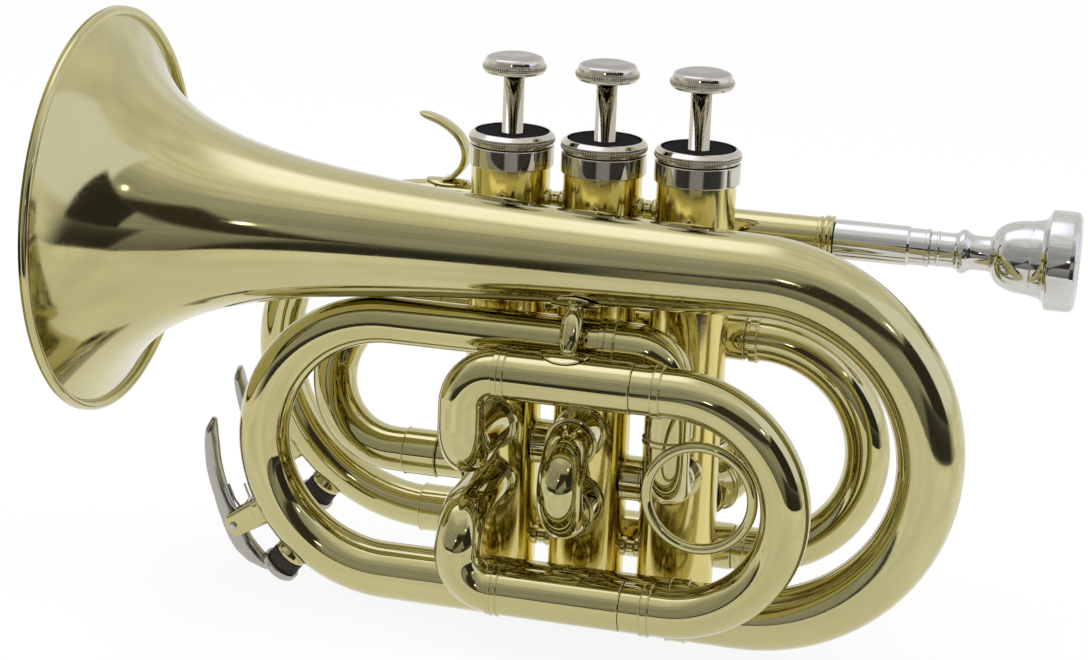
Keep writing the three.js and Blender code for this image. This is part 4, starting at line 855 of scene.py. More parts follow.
def tailBow():
    start = onPlanes(bell["jointX"] - tubing["gap"], "bell", "bellReturn")
    route = Route(start, -xAxis).straight(start.x - tail["arcX"])
    arcStart = route.length
    route.bend(zAxis, tailRadius, 180)
    arcEnd = route.length
    route.straight(tail["endX"] - tail["arcX"])
    marks = (0, arcStart, (arcStart + arcEnd) / 2, arcEnd)
    outer = list(zip(marks, tail["radii"])) + [(route.length, tail["radii"][-1])]
    wide, narrow = tail["bores"]
    onHorn(pipe("tailBow", route, outer, [(0, wide), (arcEnd, narrow), (route.length, narrow)], 0.12, 64), "tail_bow")


def tailElbow():
    start = onPlanes(tail["endX"] + tubing["gap"], "bell", "tailLeg")
    route = Route(start, xAxis).straight(tail["elbowX"] - tail["elbowRadius"] - start.x)
    route.bend(-zAxis, tail["elbowRadius"], 90)
    route.straight(route.end.z - tail["sleeveFoot"])
    sleeveEnd = route.length
    route.straight(route.end.z - tail["portHeight"] - tail["portRadius"])
    route.bend(yAxis, tail["portRadius"], 90)
    route.straight(-valve["casing"] - route.end.y + valve["portEnd"])
    outer = stepped(route.length, (0, tail["radii"][-1]), (sleeveEnd, tubing["tube"] - tubing["gap"]))
    onHorn(pipe("tailElbow", route, outer, tail["elbowBore"], 0.15), "tail_elbow")
    collar("tailElbowFerrule", onPlanes(tail["ferruleX"], "bell", "tailLeg"), *tail["ferrule"])
    ferrule("tailSleeveFerrule", "horn", route, sleeveEnd - tail["sleeveFerrule"][0], *tail["sleeveFerrule"])
    ferrule("tailPortCollar", "horn", route, route.length - tail["collarBack"], *tail["collar"], ())


bellAndBow()
tailBow()
tailElbow()
print("bell and tail ready")


mouth = {
    "tip": 64.0, "shankBore": 3.2, "throat": 1.85, "throatX": 111.9, "cupX": 126.2, "cupDepth": 8.8, "cup": 6.35,
    "outer": [
        (64.0, 4.1), (88.6, 4.4), (88.6, 4.72), (90.2, 4.74), (90.4, 4.9), (90.9, 4.9), (91.1, 4.72), (94.4, 4.72),
        (95.2, 4.85), (95.9, 5.25), (96.4, 5.8), (97.0, 6.03), (97.6, 6.05), (98.2, 5.85), (98.8, 5.3), (99.5, 4.9),
        (100.6, 4.72), (103.6, 4.7), (104.6, 4.78), (104.9, 5.05), (105.2, 5.2), (105.3, 5.7), (105.7, 6.5),
        (106.4, 7.35), (107.4, 8.15), (108.8, 8.9), (110.6, 9.5), (112.6, 9.87), (114.6, 10.05), (115.6, 10.08),
        (116.0, 10.28), (116.8, 10.35), (118.0, 10.62), (118.6, 10.85), (119.3, 11.5), (119.9, 12.6), (120.3, 13.5),
        (121.0, 13.65), (126.4, 13.65), (127.4, 13.35), (128.05, 12.65), (128.35, 11.7), (128.4, 10.8),
        (128.25, 9.9), (127.8, 9.1), (127.1, 8.55), (126.2, 8.25)],
    "receiverStart": 62.3, "receiverStep": 82.4, "receiverMouth": 88.3,
    "receiver": (5.45, 5.05, 5.25), "receiverBores": (3.5, 4.4, 4.7),
}


def mouthpiece():
    m = mouth
    shape = list(m["outer"])
    for i in range(1, 9):
        a = math.pi / 2 * i / 8
        shape.append((m["cupX"] - m["cupDepth"] * math.sin(a), m["throat"] + m["cup"] * math.cos(a)))
    shape += [(m["throatX"], m["throat"]), (m["tip"], m["shankBore"])]
    outline = [(a - m["tip"], r) for a, r in shape]
    piece = turned("mouthpiece", (m["tip"], leadY, leadZ), xAxis, outline, 0.14, 96)
    place(piece, "player_mouthpiece", silver, "mouthpiece")


def receiver():
    start, stop, end = (mouth[k] for k in ("receiverStart", "receiverStep", "receiverMouth"))
    step, length, shank = stop - start, end - start, mouth["tip"] - tubing["gap"] - start
    body, neck, lip = mouth["receiver"]
    bore, seat, opening = mouth["receiverBores"]
    outline = [
        (0, bore), (0, body), (step, body), (step + 0.5, neck), (length - 1.2, neck), (length - 1.0, lip),
        (length, lip), (length, opening), (shank, seat), (shank, bore)]
    piece = turned("mouthpieceReceiver", (start, leadY, leadZ), xAxis, outline, 0.12, 72)
    place(piece, "horn", silver, "mouthpiece_receiver")


lead = {
    "startX": -51.8, "outer": 5.6, "bore": 4.8,
    # The rings by the receiver, as (distance from the end, radius).
    "rings": [(4.4, 5.6), (4.2, 5.85), (3.4, 5.85), (3.1, 5.62), (2.8, 5.85), (2.5, 6.2), (1.7, 6.3),
              (1.3, 6.0), (1.0, 6.0), (0.7, 6.3), (0, 6.15)],
    "crossX": -57.0, "sleeveEndX": 39.6, "sleeveLength": 46.0, "slideLeg": 36.0, "slideX": 44.2, "slideFerrule": 37.3,
    "frontFerrule": (-54.0, 9.2), "crossFerrule": (-58.4, 9.6), "innerFerrule": (3.3, 10.0), "slideRing": 2.2,
}
frontRadius = (leadZ - planes["returnLeg"]) / 2


def leadpipe():
    length = mouth["receiverStart"] - tubing["gap"] - lead["startX"]
    outline = [(0, lead["bore"]), (0, lead["outer"])] + [(length - d, r) for d, r in lead["rings"]]
    outline.append((length, lead["bore"]))
    onHorn(turned("leadpipe", (lead["startX"], leadY, leadZ), xAxis, outline, 0.14, 64), "leadpipe")


def tuningParts():
    t = tubing
    route = Route(Vector((lead["startX"] - t["gap"], leadY, leadZ)), -xAxis).bend(-zAxis, frontRadius, 180)
    arc = route.length
    walls = ([(0, thin), (arc / 2, t[wide]), (arc, t[wide])] for thin, wide in (
        (lead["outer"], "tube"), (lead["bore"], "bore")))
    onHorn(pipe("frontBow", route, *walls, 0.12), "front_bow")
    for label, first, height in (("Lower", lead["startX"], "returnLeg"), ("Upper", lead["crossX"], "crossover")):
        leg = Route(onPlanes(first, "leadpipe", height), xAxis).straight(lead["sleeveEndX"] - first)
        change = leg.length - lead["sleeveLength"]
        outer, bore = (stepped(leg.length, (0, t[thin]), (change, t[wide])) for thin, wide in (
            ("tube", "sleeve"), ("bore", "sleeveBore")))
        onHorn(pipe("tuningSleeve" + label, leg, outer, bore), f"tuning_{label.lower()}_sleeve")
    for name, height, (x, length) in (
            ("frontBowFerrule", "returnLeg", lead["frontFerrule"]),
            ("crossoverFerrule", "crossover", lead["crossFerrule"])):
        collar(name, onPlanes(x, "leadpipe", height), length, t["tube"])
    high = onPlanes(lead["crossX"] - t["gap"], "leadpipe", "crossover")
    across = Vector((high.x, 0, valve["inletHeight"])) - high
    inner = Route(high, -xAxis).bend(across, across.length / 2, 180)
    arc = inner.length
    inner.straight(valve["inletX"] - lead["crossX"])
    onHorn(pipe("innerBow", inner, t["tube"], t["bore"], 0.12, None, zAxis), "inner_bow")
    past, length = lead["innerFerrule"]
    ferrule("innerBowFerrule", "horn", inner, arc + past, length, t["tube"], t["sleeve"])


def slide(name, body, route, legLength, crook, ferruleAt, node, rings=None, reference=yAxis):
    # A crook with a thinner leg in each end that runs in the fixed sleeves.
    t, end = tubing, route.length
    outer = stepped(end, (0, t["innerLeg"]), (legLength, crook), (end - legLength, t["innerLeg"]))
    place(pipe(name, route, outer, t["innerBore"], 0.18, None, reference), body, brass, node)
    if ferruleAt:
        length = t["ferruleLength"]
        ferrule(name + "FerruleUpper", body, route, ferruleAt, length, crook, None, rings)
        back = rings and [length - r for r in rings]
        ferrule(name + "FerruleLower", body, route, end - ferruleAt - length, length, crook, None, back)


def tuningSlide():
    start = onPlanes(lead["sleeveEndX"] - lead["slideLeg"], "leadpipe", "crossover")
    route = Route(start, xAxis).straight(lead["slideX"] - start.x)
    route.bend(-zAxis, (planes["crossover"] - planes["returnLeg"]) / 2, 180).straight(lead["slideX"] - start.x)
    slide("tuningSlide", "tuning_crook", route, lead["slideLeg"] + tubing["gap"], tubing["tube"],
          lead["slideFerrule"], "tuning_slide", [lead["slideRing"]])


mouthpiece()
receiver()
leadpipe()
tuningParts()
tuningSlide()
print("leadpipe and tuning slide ready")


third = {
    "knuckle": 9.8, "drop": -26.0, "sleeveEnd": 20.2, "bowX": 31.6, "crook": 6.6, "ferruleX": 25.75, "leg": 32.6,
    "lap": 0.12, "ring": 15.6, "wire": 1.45, "ringRise": 2.8, "ringSides": (120, 20),
    "ports": {"Upper": -15.5, "Lower": -32.5}, "ferruleLap": 0.5, "ferrule": (3.4, 6.25, (1.5, 3.1)),
    "collarBack": 2.3, "collar": (2.0, 6.35, 7.5),
}


def thirdTubes(where):
    # A knuckle from the valve's port and the slide's outer sleeve in front of it.
    h, t, leg = third, tubing, "third" + where
    height, port, node = planes[leg], h["ports"][where], f"third_{where.lower()}"
    start = Vector((h["drop"] + h["knuckle"], planes["thirdSlide"], height))
    route = Route(start, -xAxis).bend(zAxis * math.copysign(1, port - height), h["knuckle"], 90)
    route.straight(abs(port - height) - 2 * h["knuckle"])
    route.bend(yAxis, h["knuckle"], 90)
    route.straight(-valve["casing"] - route.end.y + valve["portEnd"])
    name = "thirdKnuckle" + where
    onHorn(pipe(name, route, t["tube"], t["bore"], 0.12), node + "_knuckle")
    collar(name + "Ferrule", onPlanes(start.x - h["ferruleLap"], "thirdSlide", leg), *h["ferrule"])
    ferrule(name + "Collar", "horn", route, route.length - h["collarBack"], *h["collar"], ())
    start.x += t["gap"]
    tube = tubeOn("thirdSleeve" + where, start, xAxis, h["sleeveEnd"] - start.x, t["sleeve"], t["sleeveBore"], 0.14)
    onHorn(tube, node + "_sleeve")
    markBead("horn", onPlanes(h["sleeveEnd"] - 0.3, "thirdSlide", leg), xAxis, t["sleeve"] - 0.1)


def thirdSlide():
    h, upper, lower = third, planes["thirdUpper"], planes["thirdLower"]
    start = onPlanes(h["sleeveEnd"] - h["leg"], "thirdSlide", "thirdUpper")
    radius = (upper - lower) / 2
    route = Route(start, xAxis).straight(h["bowX"] - start.x)
    route.bend(-zAxis, radius, 180).straight(h["bowX"] - start.x)
    slide("thirdSlide", "third_crook", route, h["leg"] + h["lap"], h["crook"], h["ferruleX"] - start.x, "third_slide")
    reach = radius - h["crook"] - h["ring"] - tubing["gap"]
    ringX = h["bowX"] + math.sqrt(reach ** 2 - h["ringRise"] ** 2)
    centre = Vector((ringX, planes["thirdSlide"], (upper + lower) / 2 + h["ringRise"]))
    hoop, (around, wireSides) = h["ring"] - h["wire"], h["ringSides"]
    vertices = []
    for a in turns(around):
        out = xAxis * math.cos(a) + zAxis * math.sin(a)
        for b in turns(wireSides):
            grown = out * (hoop + h["wire"] * math.cos(b)) + yAxis * h["wire"] * math.sin(b)
            vertices.append(centre + grown)
    ring = newPiece("fingerRing", vertices, skin(evenRings(around, wireSides), True, True))
    weld(ring.data)
    place(ring, "third_crook", brass, "finger_ring")


def shortSlide(number):
    s = shortSlides[number]
    label, leg = s["label"], s["leg"] + tubing["gap"]
    upper = Vector((valveAt[number] + s["shift"], 0, shortPorts[0]))
    upper += s["way"] * (valve["casing"] + s["sleeve"] - s["leg"])
    radius = (shortPorts[0] - shortPorts[1]) / 2
    route = Route(upper, s["way"]).straight(leg).bend(-zAxis, radius, 180).straight(leg)
    slide(label + "Slide", label + "_crook", route, leg, valve["shortCrook"], None, label + "_slide", None, zAxis)


for where in third["ports"]:
    thirdTubes(where)
thirdSlide()
for number in shortSlides:
    shortSlide(number)
print("slides ready")


brace = {
    "x": 1.4, "flange": (6.7, 4.8, 0.7), "lift": 0.25, "lean": 0.08,
    "shares": (0, 0.05, 0.1, 0.16, 0.23, 0.32, 0.44, 0.58, 0.7, 0.8, 0.87, 0.92, 0.96, 1),
    "radii": (2.6, 2.0, 1.85, 1.95, 2.4, 2.8, 2.95, 2.95, 2.85, 2.55, 2.1, 1.85, 2.0, 2.6),
}


def saddlePlate(name, centre, radius, toward, halfLength, halfWidth, thickness):
    # An oval plate that wraps a tube running along X, on the side that faces the given way.
    side = xAxis.cross(toward)
    vertices, rings, around = [], 7, 48
    for lift in (0.0, thickness):
        for share in shares(rings):
            share *= 0.97 if lift else 1.0
            for a in turns(around):
                bend = halfWidth * share * math.sin(a) / radius
                out = toward * math.cos(bend) + side * math.sin(bend)
                drop = thickness * 0.35 * share ** 4 if lift else 0.0
                vertices.append(centre + xAxis * halfLength * share * math.cos(a) + out * (radius + lift - drop))
    under, over = evenRings(rings, around), evenRings(rings, around, rings * around)
    plate = newPiece(name, vertices, skin(under) + skin(over) + skin([under[-1], over[-1]]), 50)
    weld(plate.data, 1e-6)
    return plate


def bellBrace():
    b, sleeve = brace, tubing["sleeve"]
    top, foot = onPlanes(b["x"], "bell", "bellHeight"), onPlanes(b["x"], "thirdSlide", "thirdUpper")
    way = (foot - top).normalized()
    bellHere = flareRadius(b["x"] - bell["rimX"])
    length = (foot - top).length - bellHere - sleeve
    outline = [(0, 0)] + [(s * length, r) for s, r in zip(b["shares"], b["radii"])] + [(length, 0)]
    onHorn(turned("bellBraceSpindle", top + way * bellHere, way, outline, 0.1, 48), "bell_brace")
    onHorn(saddlePlate("bellBraceUpper", top, bellHere + b["lift"], way, *b["flange"]), "bell_brace")
    upright = (zAxis + yAxis * b["lean"]).normalized()
    onHorn(saddlePlate("bellBraceLower", foot, sleeve + b["lift"], upright, *b["flange"]), "bell_brace")


seats = {
    "tilt": 52.0, "plate": (8.6, 3.1, 0.42), "post": 1.5, "postRise": 8.1, "postBack": 9.3, "nearRadius": 12.2,
}


def bellSeat(number):
    # The bell rests against each casing on a thin wrapped plate and a short block.
    x, s = valveAt[number], seats
    centre = onPlanes(x, "bell", "bellHeight")
    radius = flareRadius(x - bell["rimX"])
    tilt, grown = math.radians(s["tilt"]), radius - s["nearRadius"]
    toward = yAxis * math.cos(tilt) + zAxis * math.sin(tilt)
    onHorn(saddlePlate(f"bellSeat{number}", centre, radius + 0.02, toward, *s["plate"]))
    start = centre + yAxis * (grown + s["postBack"]) + zAxis * (s["postRise"] + grown)
    length = -valve["casing"] + 0.5 - start.y
    onHorn(turned(f"bellSeatBlock{number}", start, yAxis, [
        (0, 0), (0, s["post"]), (length - 0.6, s["post"]), (length, s["post"] + 0.5), (length, 0)], 0.2, 32))


hook = {
    "foot": 6.35, "x": -49.2, "width": 3.2, "tipWidth": 2.7, "count": 56, "roundTip": 6,
    "shape": [(-1, 0), (1.9, 1.2), (4.6, 4.6), (5, 8.8), (2.7, 13), (-2.2, 16.4), (-9, 18.6)],
    "thicknesses": [0.9, 1.8, 2.2, 2.2, 2.2, 2.2, 2.2, 2.1, 1.8], "pad": (6.5, 3.4, 0.9),
}
post = {"flange": 3.3, "waist": 2.0, "head": 2.6, "overlap": 0.4, "reach": 5.4}


def pinkyHook():
    h = hook
    base, count, tip = Vector((h["x"], leadY, leadZ)), h["count"], h["roundTip"]
    line = smoothPath([base + Vector((x, 0, h["foot"] + z)) for x, z in h["shape"]], count)
    outs, halves, widths = [], [], []
    for i, share in enumerate(shares(count)):
        along = (line[min(i + 1, count - 1)] - line[max(i - 1, 0)]).normalized()
        outs.append(along.cross(yAxis).normalized())
        close = max(0.0, (i - (count - 1 - tip)) / tip)
        end = math.sqrt(max(0.02, 1 - close ** 2))
        halves.append(tableAt(h["thicknesses"], share) / 2 * end)
        widths.append((h["width"] + (h["tipWidth"] - h["width"]) * share) * end)
    onHorn(strip("pinkyHook", line, outs, yAxis, widths, halves, 2.6, 24), "pinky_hook")
    onHorn(saddlePlate("pinkyHookFoot", base, lead["outer"] + 0.02, zAxis, *h["pad"]), "pinky_hook")


def leadpipePost():
    flange, waist, head = post["flange"], post["waist"], post["head"]
    start = valve["casing"] - post["overlap"]
    length = leadY - post["reach"] - start
    outline = [(0, 0), (0, flange), (0.9, flange), (1.3, waist), (length - 1.3, waist), (length - 0.9, head),
               (length, head), (length, 0)]
    onHorn(turned("leadpipePost", (valveAt[1], start, leadZ), yAxis, outline, 0.2, 40), "leadpipe_brace")


bellBrace()
for number in valveAt:
    bellSeat(number)
pinkyHook()
leadpipePost()
print("braces ready")


# Angles run in degrees round the bow's centre; the wall is the bow's outer edge there.
keys = {
    "tail": {"body": "tail_water_key", "wall": tailRadius + 7.5, "tip": 177.5, "pivot": 212.2, "nipple": 231.3,
             "centre": Vector((tail["arcX"], planes["bell"], (planes["tailLeg"] + planes["bellReturn"]) / 2))},
    "front": {"body": "front_water_key", "wall": frontRadius + 6.35, "tip": 189.5, "pivot": 217.5, "nipple": 233.2,
              "centre": Vector((lead["startX"] - tubing["gap"], leadY, (leadZ + planes["returnLeg"]) / 2))},
}
lever = {
    "shares": [0, 0.065, 0.16, 0.29, 0.44, 0.57, 0.645, 0.7, 0.77, 0.855, 0.93, 1],
    "rises": [7.6, 8.3, 8.5, 8.9, 9.1, 9.6, 9.9, 10.2, 10.6, 10.2, 9.3, 8.2],
    "heights": [1.3, 2.8, 3.8, 4.2, 4.4, 5.2, 6.1, 6.5, 6.2, 5.4, 3.6, 1.2],
    "count": 72, "width": 4.2, "paddle": 6.4, "standOff": 8.6,
    "nippleDepth": 2.4, "nippleHeight": 1.4, "cork": 5.2, "cup": 3.9,
    "earFoot": 3.8, "earEnd": 3.4, "earHalf": 0.65, "screwHead": 0.9,
    "wire": 0.36, "wireTurn": 10.0, "wireHigh": 6.9, "wireLow": 0.4, "wireStart": 2.6, "wirePoints": 12,
    "armShift": 1.45, "footShift": 2.27,
    "saddleRises": (-1.6, -0.6, 0.4, 1.0, 1.3), "saddleWidths": (3.7, 3.7, 3.65, 3.5, 3.0),
    "saddleDepths": (4.3, 4.3, 4.25, 4.1, 3.8),
}


def outward(degrees):
    a = math.radians(degrees)
    return Vector((math.cos(a), 0, math.sin(a)))


def readTable(shares, values, share):
    for i in range(1, len(shares)):
        if share <= shares[i]:
            t = (share - shares[i - 1]) / (shares[i] - shares[i - 1])
            t = t * t * (3 - 2 * t) * 0.5 + t * 0.5
            return values[i - 1] + (values[i] - values[i - 1]) * t
    return values[-1]


def keyWire(name, body, k, shift, height):
    # One arm of the wire spring, from the pivot towards the paddle.
    l, count = lever, lever["wirePoints"]
    low, high = k["wall"] + l["standOff"] - l["wireStart"], k["wall"] + height
    line, outs = [], []
    for share in shares(count):
        way = outward(k["pivot"] - 2.0 - l["wireTurn"] * share)
        ease = min(1.0, share * 2.2)
        line.append(k["centre"] + way * (low + (high - low) * ease) + yAxis * shift)
        outs.append(way)
    halves = [l["wire"]] * count
    place(strip(name, line, outs, yAxis, halves, halves, 2.0, 10), body, steel)


def keyLever(which):
    # The arm from the paddle to the cork, round the bow.
    k, l = keys[which], lever
    centres, outs, widths, halves = [], [], [], []
    for share in shares(l["count"]):
        way = outward(k["tip"] + (k["nipple"] - k["tip"]) * share)
        centres.append(k["centre"] + way * (k["wall"] + readTable(l["shares"], l["rises"], share)))
        outs.append(way)
        end = min(1.0, 0.06 + share * 14, 0.2 + (1 - share) * 20)
        widening = max(0.0, 1 - share * 1.5)
        widths.append((l["width"] + (l["paddle"] - l["width"]) * widening) / 2 * math.sqrt(end))
        halves.append(readTable(l["shares"], l["heights"], share) / 2)
    arm = strip(which + "KeyLever", centres, outs, yAxis, widths, halves, 2.3, 28)
    place(arm, k["body"], satinNickel, f"{which}_key_lever")


def keySeal(which):
    # The nipple on the tube, the cork on it and the cup that holds the cork.
    k, l = keys[which], lever
    way = outward(k["nipple"])
    base = k["centre"] + way * (k["wall"] - l["nippleDepth"])
    top, high = l["nippleDepth"] + l["nippleHeight"], l["cork"] + 0.3
    onHorn(turned(which + "KeyNipple", base, way, [
        (0, 1.6), (0, 3.4), (top - 1.3, 5.0), (top - 0.4, 5.0), (top - 0.35, 4.3), (top, 4.1), (top, 1.6)],
        0.15, 56), f"{which}_key_nipple")
    pad = turned(which + "KeyCork", base + way * (top + 0.05), way, [
        (0, 0), (0, 4.75), (high, 4.8), (high, 0)], 0.5, 56)
    place(pad, k["body"], cork, f"{which}_key_cork")
    cup = turned(which + "KeyCup", base + way * (top + l["cup"]), way, [
        (0, 4.9), (0, 5.45), (0.3, 5.6), (1.6, 5.6), (2.3, 5.1), (2.7, 3.4), (2.8, 0), (1.9, 0), (1.9, 4.9)], 0.14, 56)
    place(cup, k["body"], satinNickel, f"{which}_key_lever")


def keySaddle(which):
    # Two ears on a foot with the screw through them, and the arms of the spring beside each ear.
    k, l, node = keys[which], lever, f"{which}_key_saddle"
    way = outward(k["pivot"])
    across = way.cross(yAxis)
    earShift = l["width"] / 2 + tubing["gap"] + l["earHalf"]
    steps = [(i / 12 * 0.8, 1.0) for i in range(13)]
    steps += [(0.8 + 0.2 * math.sin(a), max(0.04, math.cos(a))) for a in (math.pi / 2 * i / 10 for i in range(1, 11))]
    count = len(steps)
    reach = [k["wall"] - 1.0 + s * (l["standOff"] + 3.3) for s, _ in steps]
    halfLengths = [(l["earFoot"] + (l["earEnd"] - l["earFoot"]) * min(1, s * 1.25)) * tip for s, tip in steps]
    for side, label in ((-1, "Near"), (1, "Far")):
        centres = [k["centre"] + way * r + yAxis * side * earShift for r in reach]
        onHorn(strip(f"{which}KeyEar{label}", centres, [yAxis] * count, across, halfLengths,
                     [l["earHalf"]] * count, 3.0, 28), node)
        keyWire(f"{which}KeySpring{label}", k["body"], k, side * l["armShift"], l["wireHigh"])
        keyWire(f"{which}KeySpringFoot{label}", "horn", k, side * l["footShift"], l["wireLow"])
    line = [k["centre"] + way * (k["wall"] + d) for d in l["saddleRises"]]
    onHorn(strip(which + "KeySaddle", line, [yAxis] * len(line), across, l["saddleWidths"], l["saddleDepths"],
                 5.0, 32), node)
    half, head = earShift + l["earHalf"], l["screwHead"]
    pivot = k["centre"] + way * (k["wall"] + l["standOff"])
    pin = turned(which + "KeyScrew", pivot - yAxis * (half + head), yAxis, [
        (0, 0), (0, 0.75), (0.25, 1.1), (0.8, 1.1), (head, 0.9), (2 * half + head, 0.9), (2 * half + head, 1.3),
        (2 * half + 1.6, 1.25), (2 * half + 1.7, 0)], 0.12, 32)
    place(pin, "horn", steel, f"{which}_key_screw")


for which in keys:
    keyLever(which)
    keySeal(which)
    keySaddle(which)
print("water keys ready")

for body, sites in beadSites.items():
    rings = bakeTree(f"{body}Beads", bead, {"Wire Share": 0.027, "Finish": brass}, *zip(*sites))
    place(rings, body, brass)
print("beads ready:", sum(len(s) for s in beadSites.values()))


photoView = {
    "eye": (0.142878, -0.634449, 0.206381),
    "right": Vector((0.96692619, 0.25219705, 0.03808392)),
    "up": Vector((-0.10803111, 0.26969743, 0.95686602)),
    "back": Vector((0.23104765, -0.92933306, 0.28802264)),
    "lens": 80.797, "sensor": 36.0,
}


def setUp(name, data, location, turn):
    thing = addObject(name, data)
    thing.location = location
    thing.rotation_mode = "QUATERNION"
    thing.rotation_quaternion = turn
    return thing


def addCamera():
    v = photoView
    data = bpy.data.cameras.new("photoCamera")
    data.lens, data.sensor_width, data.sensor_fit = v["lens"], v["sensor"], "HORIZONTAL"
    data.clip_start, data.clip_end = 0.01, 50
    turn = Matrix((v["right"], v["up"], v["back"])).transposed()
    bpy.context.scene.camera = setUp("photoCamera", data, v["eye"], turn.to_quaternion())


def addLamp(name, location, size, power):
    # Lamps light the floor, felt and cork; the metal does not mirror them and sees painted highlights on the room
    # screen instead.
    data = bpy.data.lights.new(name, "AREA")
    data.shape, data.size, data.size_y, data.energy = "RECTANGLE", size[0], size[1], power
    turn = (-Vector(location)).to_track_quat("-Z", "Y")
    setUp(name, data, location, turn).visible_glossy = False


studio = {
    "floorSize": 8.0, "floorDrop": 0.0006, "worldStrength": 0.89, "floorGlow": 0.89, "screenLift": 0.002,
    "paper": (0.8, 1.06), "paperScale": 9.0,
    "lamps": [
        ("overheadSoftbox", (0.0, -0.1, 1.0), (1.6, 0.42), 5.4),
        ("leftSoftbox", (-1.1, -0.5, 0.55), (0.3, 0.7), 1.6),
    ],
    "radius": 1.95, "steps": 96, "rises": 30,
    # Painted reflection tones that the metal mirrors, by degrees above the floor or by metres from the part.
    "wallTones": [
        (-15, 0.34), (0, 0.38), (10, 0.42), (22, 0.40), (34, 0.48), (44, 0.55), (50, 0.72), (60, 0.92), (90, 0.98)],
    "wallTurn": (-152, -6, 14.0), "streaks": (0.8, 1.2), "streakStretch": (0.7, 0.7, 9.0), "streakScale": 1.4,
    # Each patch is a painted reflection of the window or of a dark patch: slanted edges (a, b, c) that keep a * turn +
    # b * rise below c, its tone and how soft it is.
    "patches": [
        ([(-1, 0, 30), (1, 0.12, 33), (0.42, 1, 50), (0, -1, -3)], (1.02, 1.05, 1.32), 2.0),
        ([(1, 0.411, -9.3), (-0.574, 1, 45.3), (-1, -0.6, 46.8)], (0.035, 0.035, 0.035), 1.2),
        ([(-1.43, 1, 140.6), (0.18, 1, 14.4), (0.449, -1, -37.5)], (0.05, 0.042, 0.038), 3.0),
    ],
    # Painted glints of small lamps: (turn, rise), size and brightness of each, and how soft their edges are.
    "paintedGlints": [((-41, 29), 1.6, 8.0), ((-88, 15), 1.4, 7.0)], "glintSoft": 0.4,
    # A painted softbox highlight on the card: bands of rise, of X / Z and of Y / Z, and its tint.
    "paintedSoftbox": {
        "rise": (50.0, 100.0, 4.0), "X": (-1.1, 0.02, 0.14), "Y": (-0.2, 0.4, 0.16), "tone": (0.84, 0.86, 1.35)},
    "mottle": (0.74, 0.95), "mottleScale": 1.7,
    "paperEdge": [
        (-172, 0.62), (-160, 0.5), (-130, 0.36), (-107, 0.31), (-96, 0.26), (-67, 0.254), (-12, 0.34), (4, 0.4)],
    "farTones": [(0.25, 0.03), (0.5, 0.045), (0.8, 0.06), (1.2, 0.1), (1.95, 0.16)],
    "farTurn": (-142, -6, 12.0), "farMottle": (0.85, 1.15), "farMottleScale": 2.2,
    "wedgeTones": [(0.25, 0.12), (0.34, 0.22), (0.55, 0.3), (0.8, 0.34), (1.95, 0.4)], "wedgeTurn": (-96, -61, 3.0),
}


def whiteForEye(tree):
    # The camera, and what mirrors and glass show, see plain white here.
    path = addNode(tree, "ShaderNodeLightPath").outputs
    seen = maths(tree, "MAXIMUM", path["Is Camera Ray"], path["Is Glossy Ray"])
    return maths(tree, "MAXIMUM", seen, path["Is Transmission Ray"])


def within(tree, value, low, high, soft):
    # One inside a band, easing to nought over its soft edges.
    ease = {"interpolation_type": "SMOOTHSTEP"}
    rise = spread(tree, value, 0.0, 1.0, low - soft, low + soft, **ease)
    fall = spread(tree, value, 1.0, 0.0, high - soft, high + soft, **ease)
    return maths(tree, "MULTIPLY", rise, fall)


def disc(tree, turn, rise, centre, radius, soft):
    parts = (maths(tree, "DIVIDE", maths(tree, "SUBTRACT", value, middle), radius)
             for value, middle in zip((turn, rise), centre))
    across, high = (maths(tree, "MULTIPLY", part, part) for part in parts)
    return within(tree, maths(tree, "SQRT", maths(tree, "ADD", across, high)), -1.0, 1.0, soft)


def covered(tree, cover, under, tone):
    return output(tree, "ShaderNodeMix", 1, {"Factor": cover, 4: under, 5: tone}, data_type="VECTOR")


def toneRamp(tree, value, stops):
    # A grey read from (place, tone) stops.
    low, high = stops[0][0], stops[-1][0]
    share = spread(tree, value, 0.0, 1.0, low, high)
    return ramp(tree, share, [((p - low) / (high - low), (t, t, t)) for p, t in stops])


def addScreen(name, vertices, faces, shade):
    # A glowing card that only the metal sees, as a photographer sets cards round a shiny thing; its tones are painted
    # reflections.
    mesh = newMesh(name, vertices, faces)
    material = bpy.data.materials.new(name)
    material.use_nodes = True
    tree = material.node_tree
    tree.nodes.clear()
    spot = output(tree, "ShaderNodeTexCoord", "Object")
    axes = addNode(tree, "ShaderNodeSeparateXYZ", {"Vector": spot}).outputs
    turn = maths(tree, "DEGREES", maths(tree, "ARCTAN2", axes["Y"], axes["X"]))
    tone, cover = shade(tree, spot, axes, turn)
    glow = output(tree, "ShaderNodeEmission", 0, {"Color": tone, "Strength": 1.0})
    if cover:
        clear = output(tree, "ShaderNodeBsdfTransparent", 0)
        glow = output(tree, "ShaderNodeMixShader", 0, {0: cover, 1: clear, 2: glow})
    addNode(tree, "ShaderNodeOutputMaterial", {"Surface": glow})
    mesh.materials.append(material)
    screen = addObject(name, mesh)
    screen.visible_camera = screen.visible_diffuse = screen.visible_shadow = False


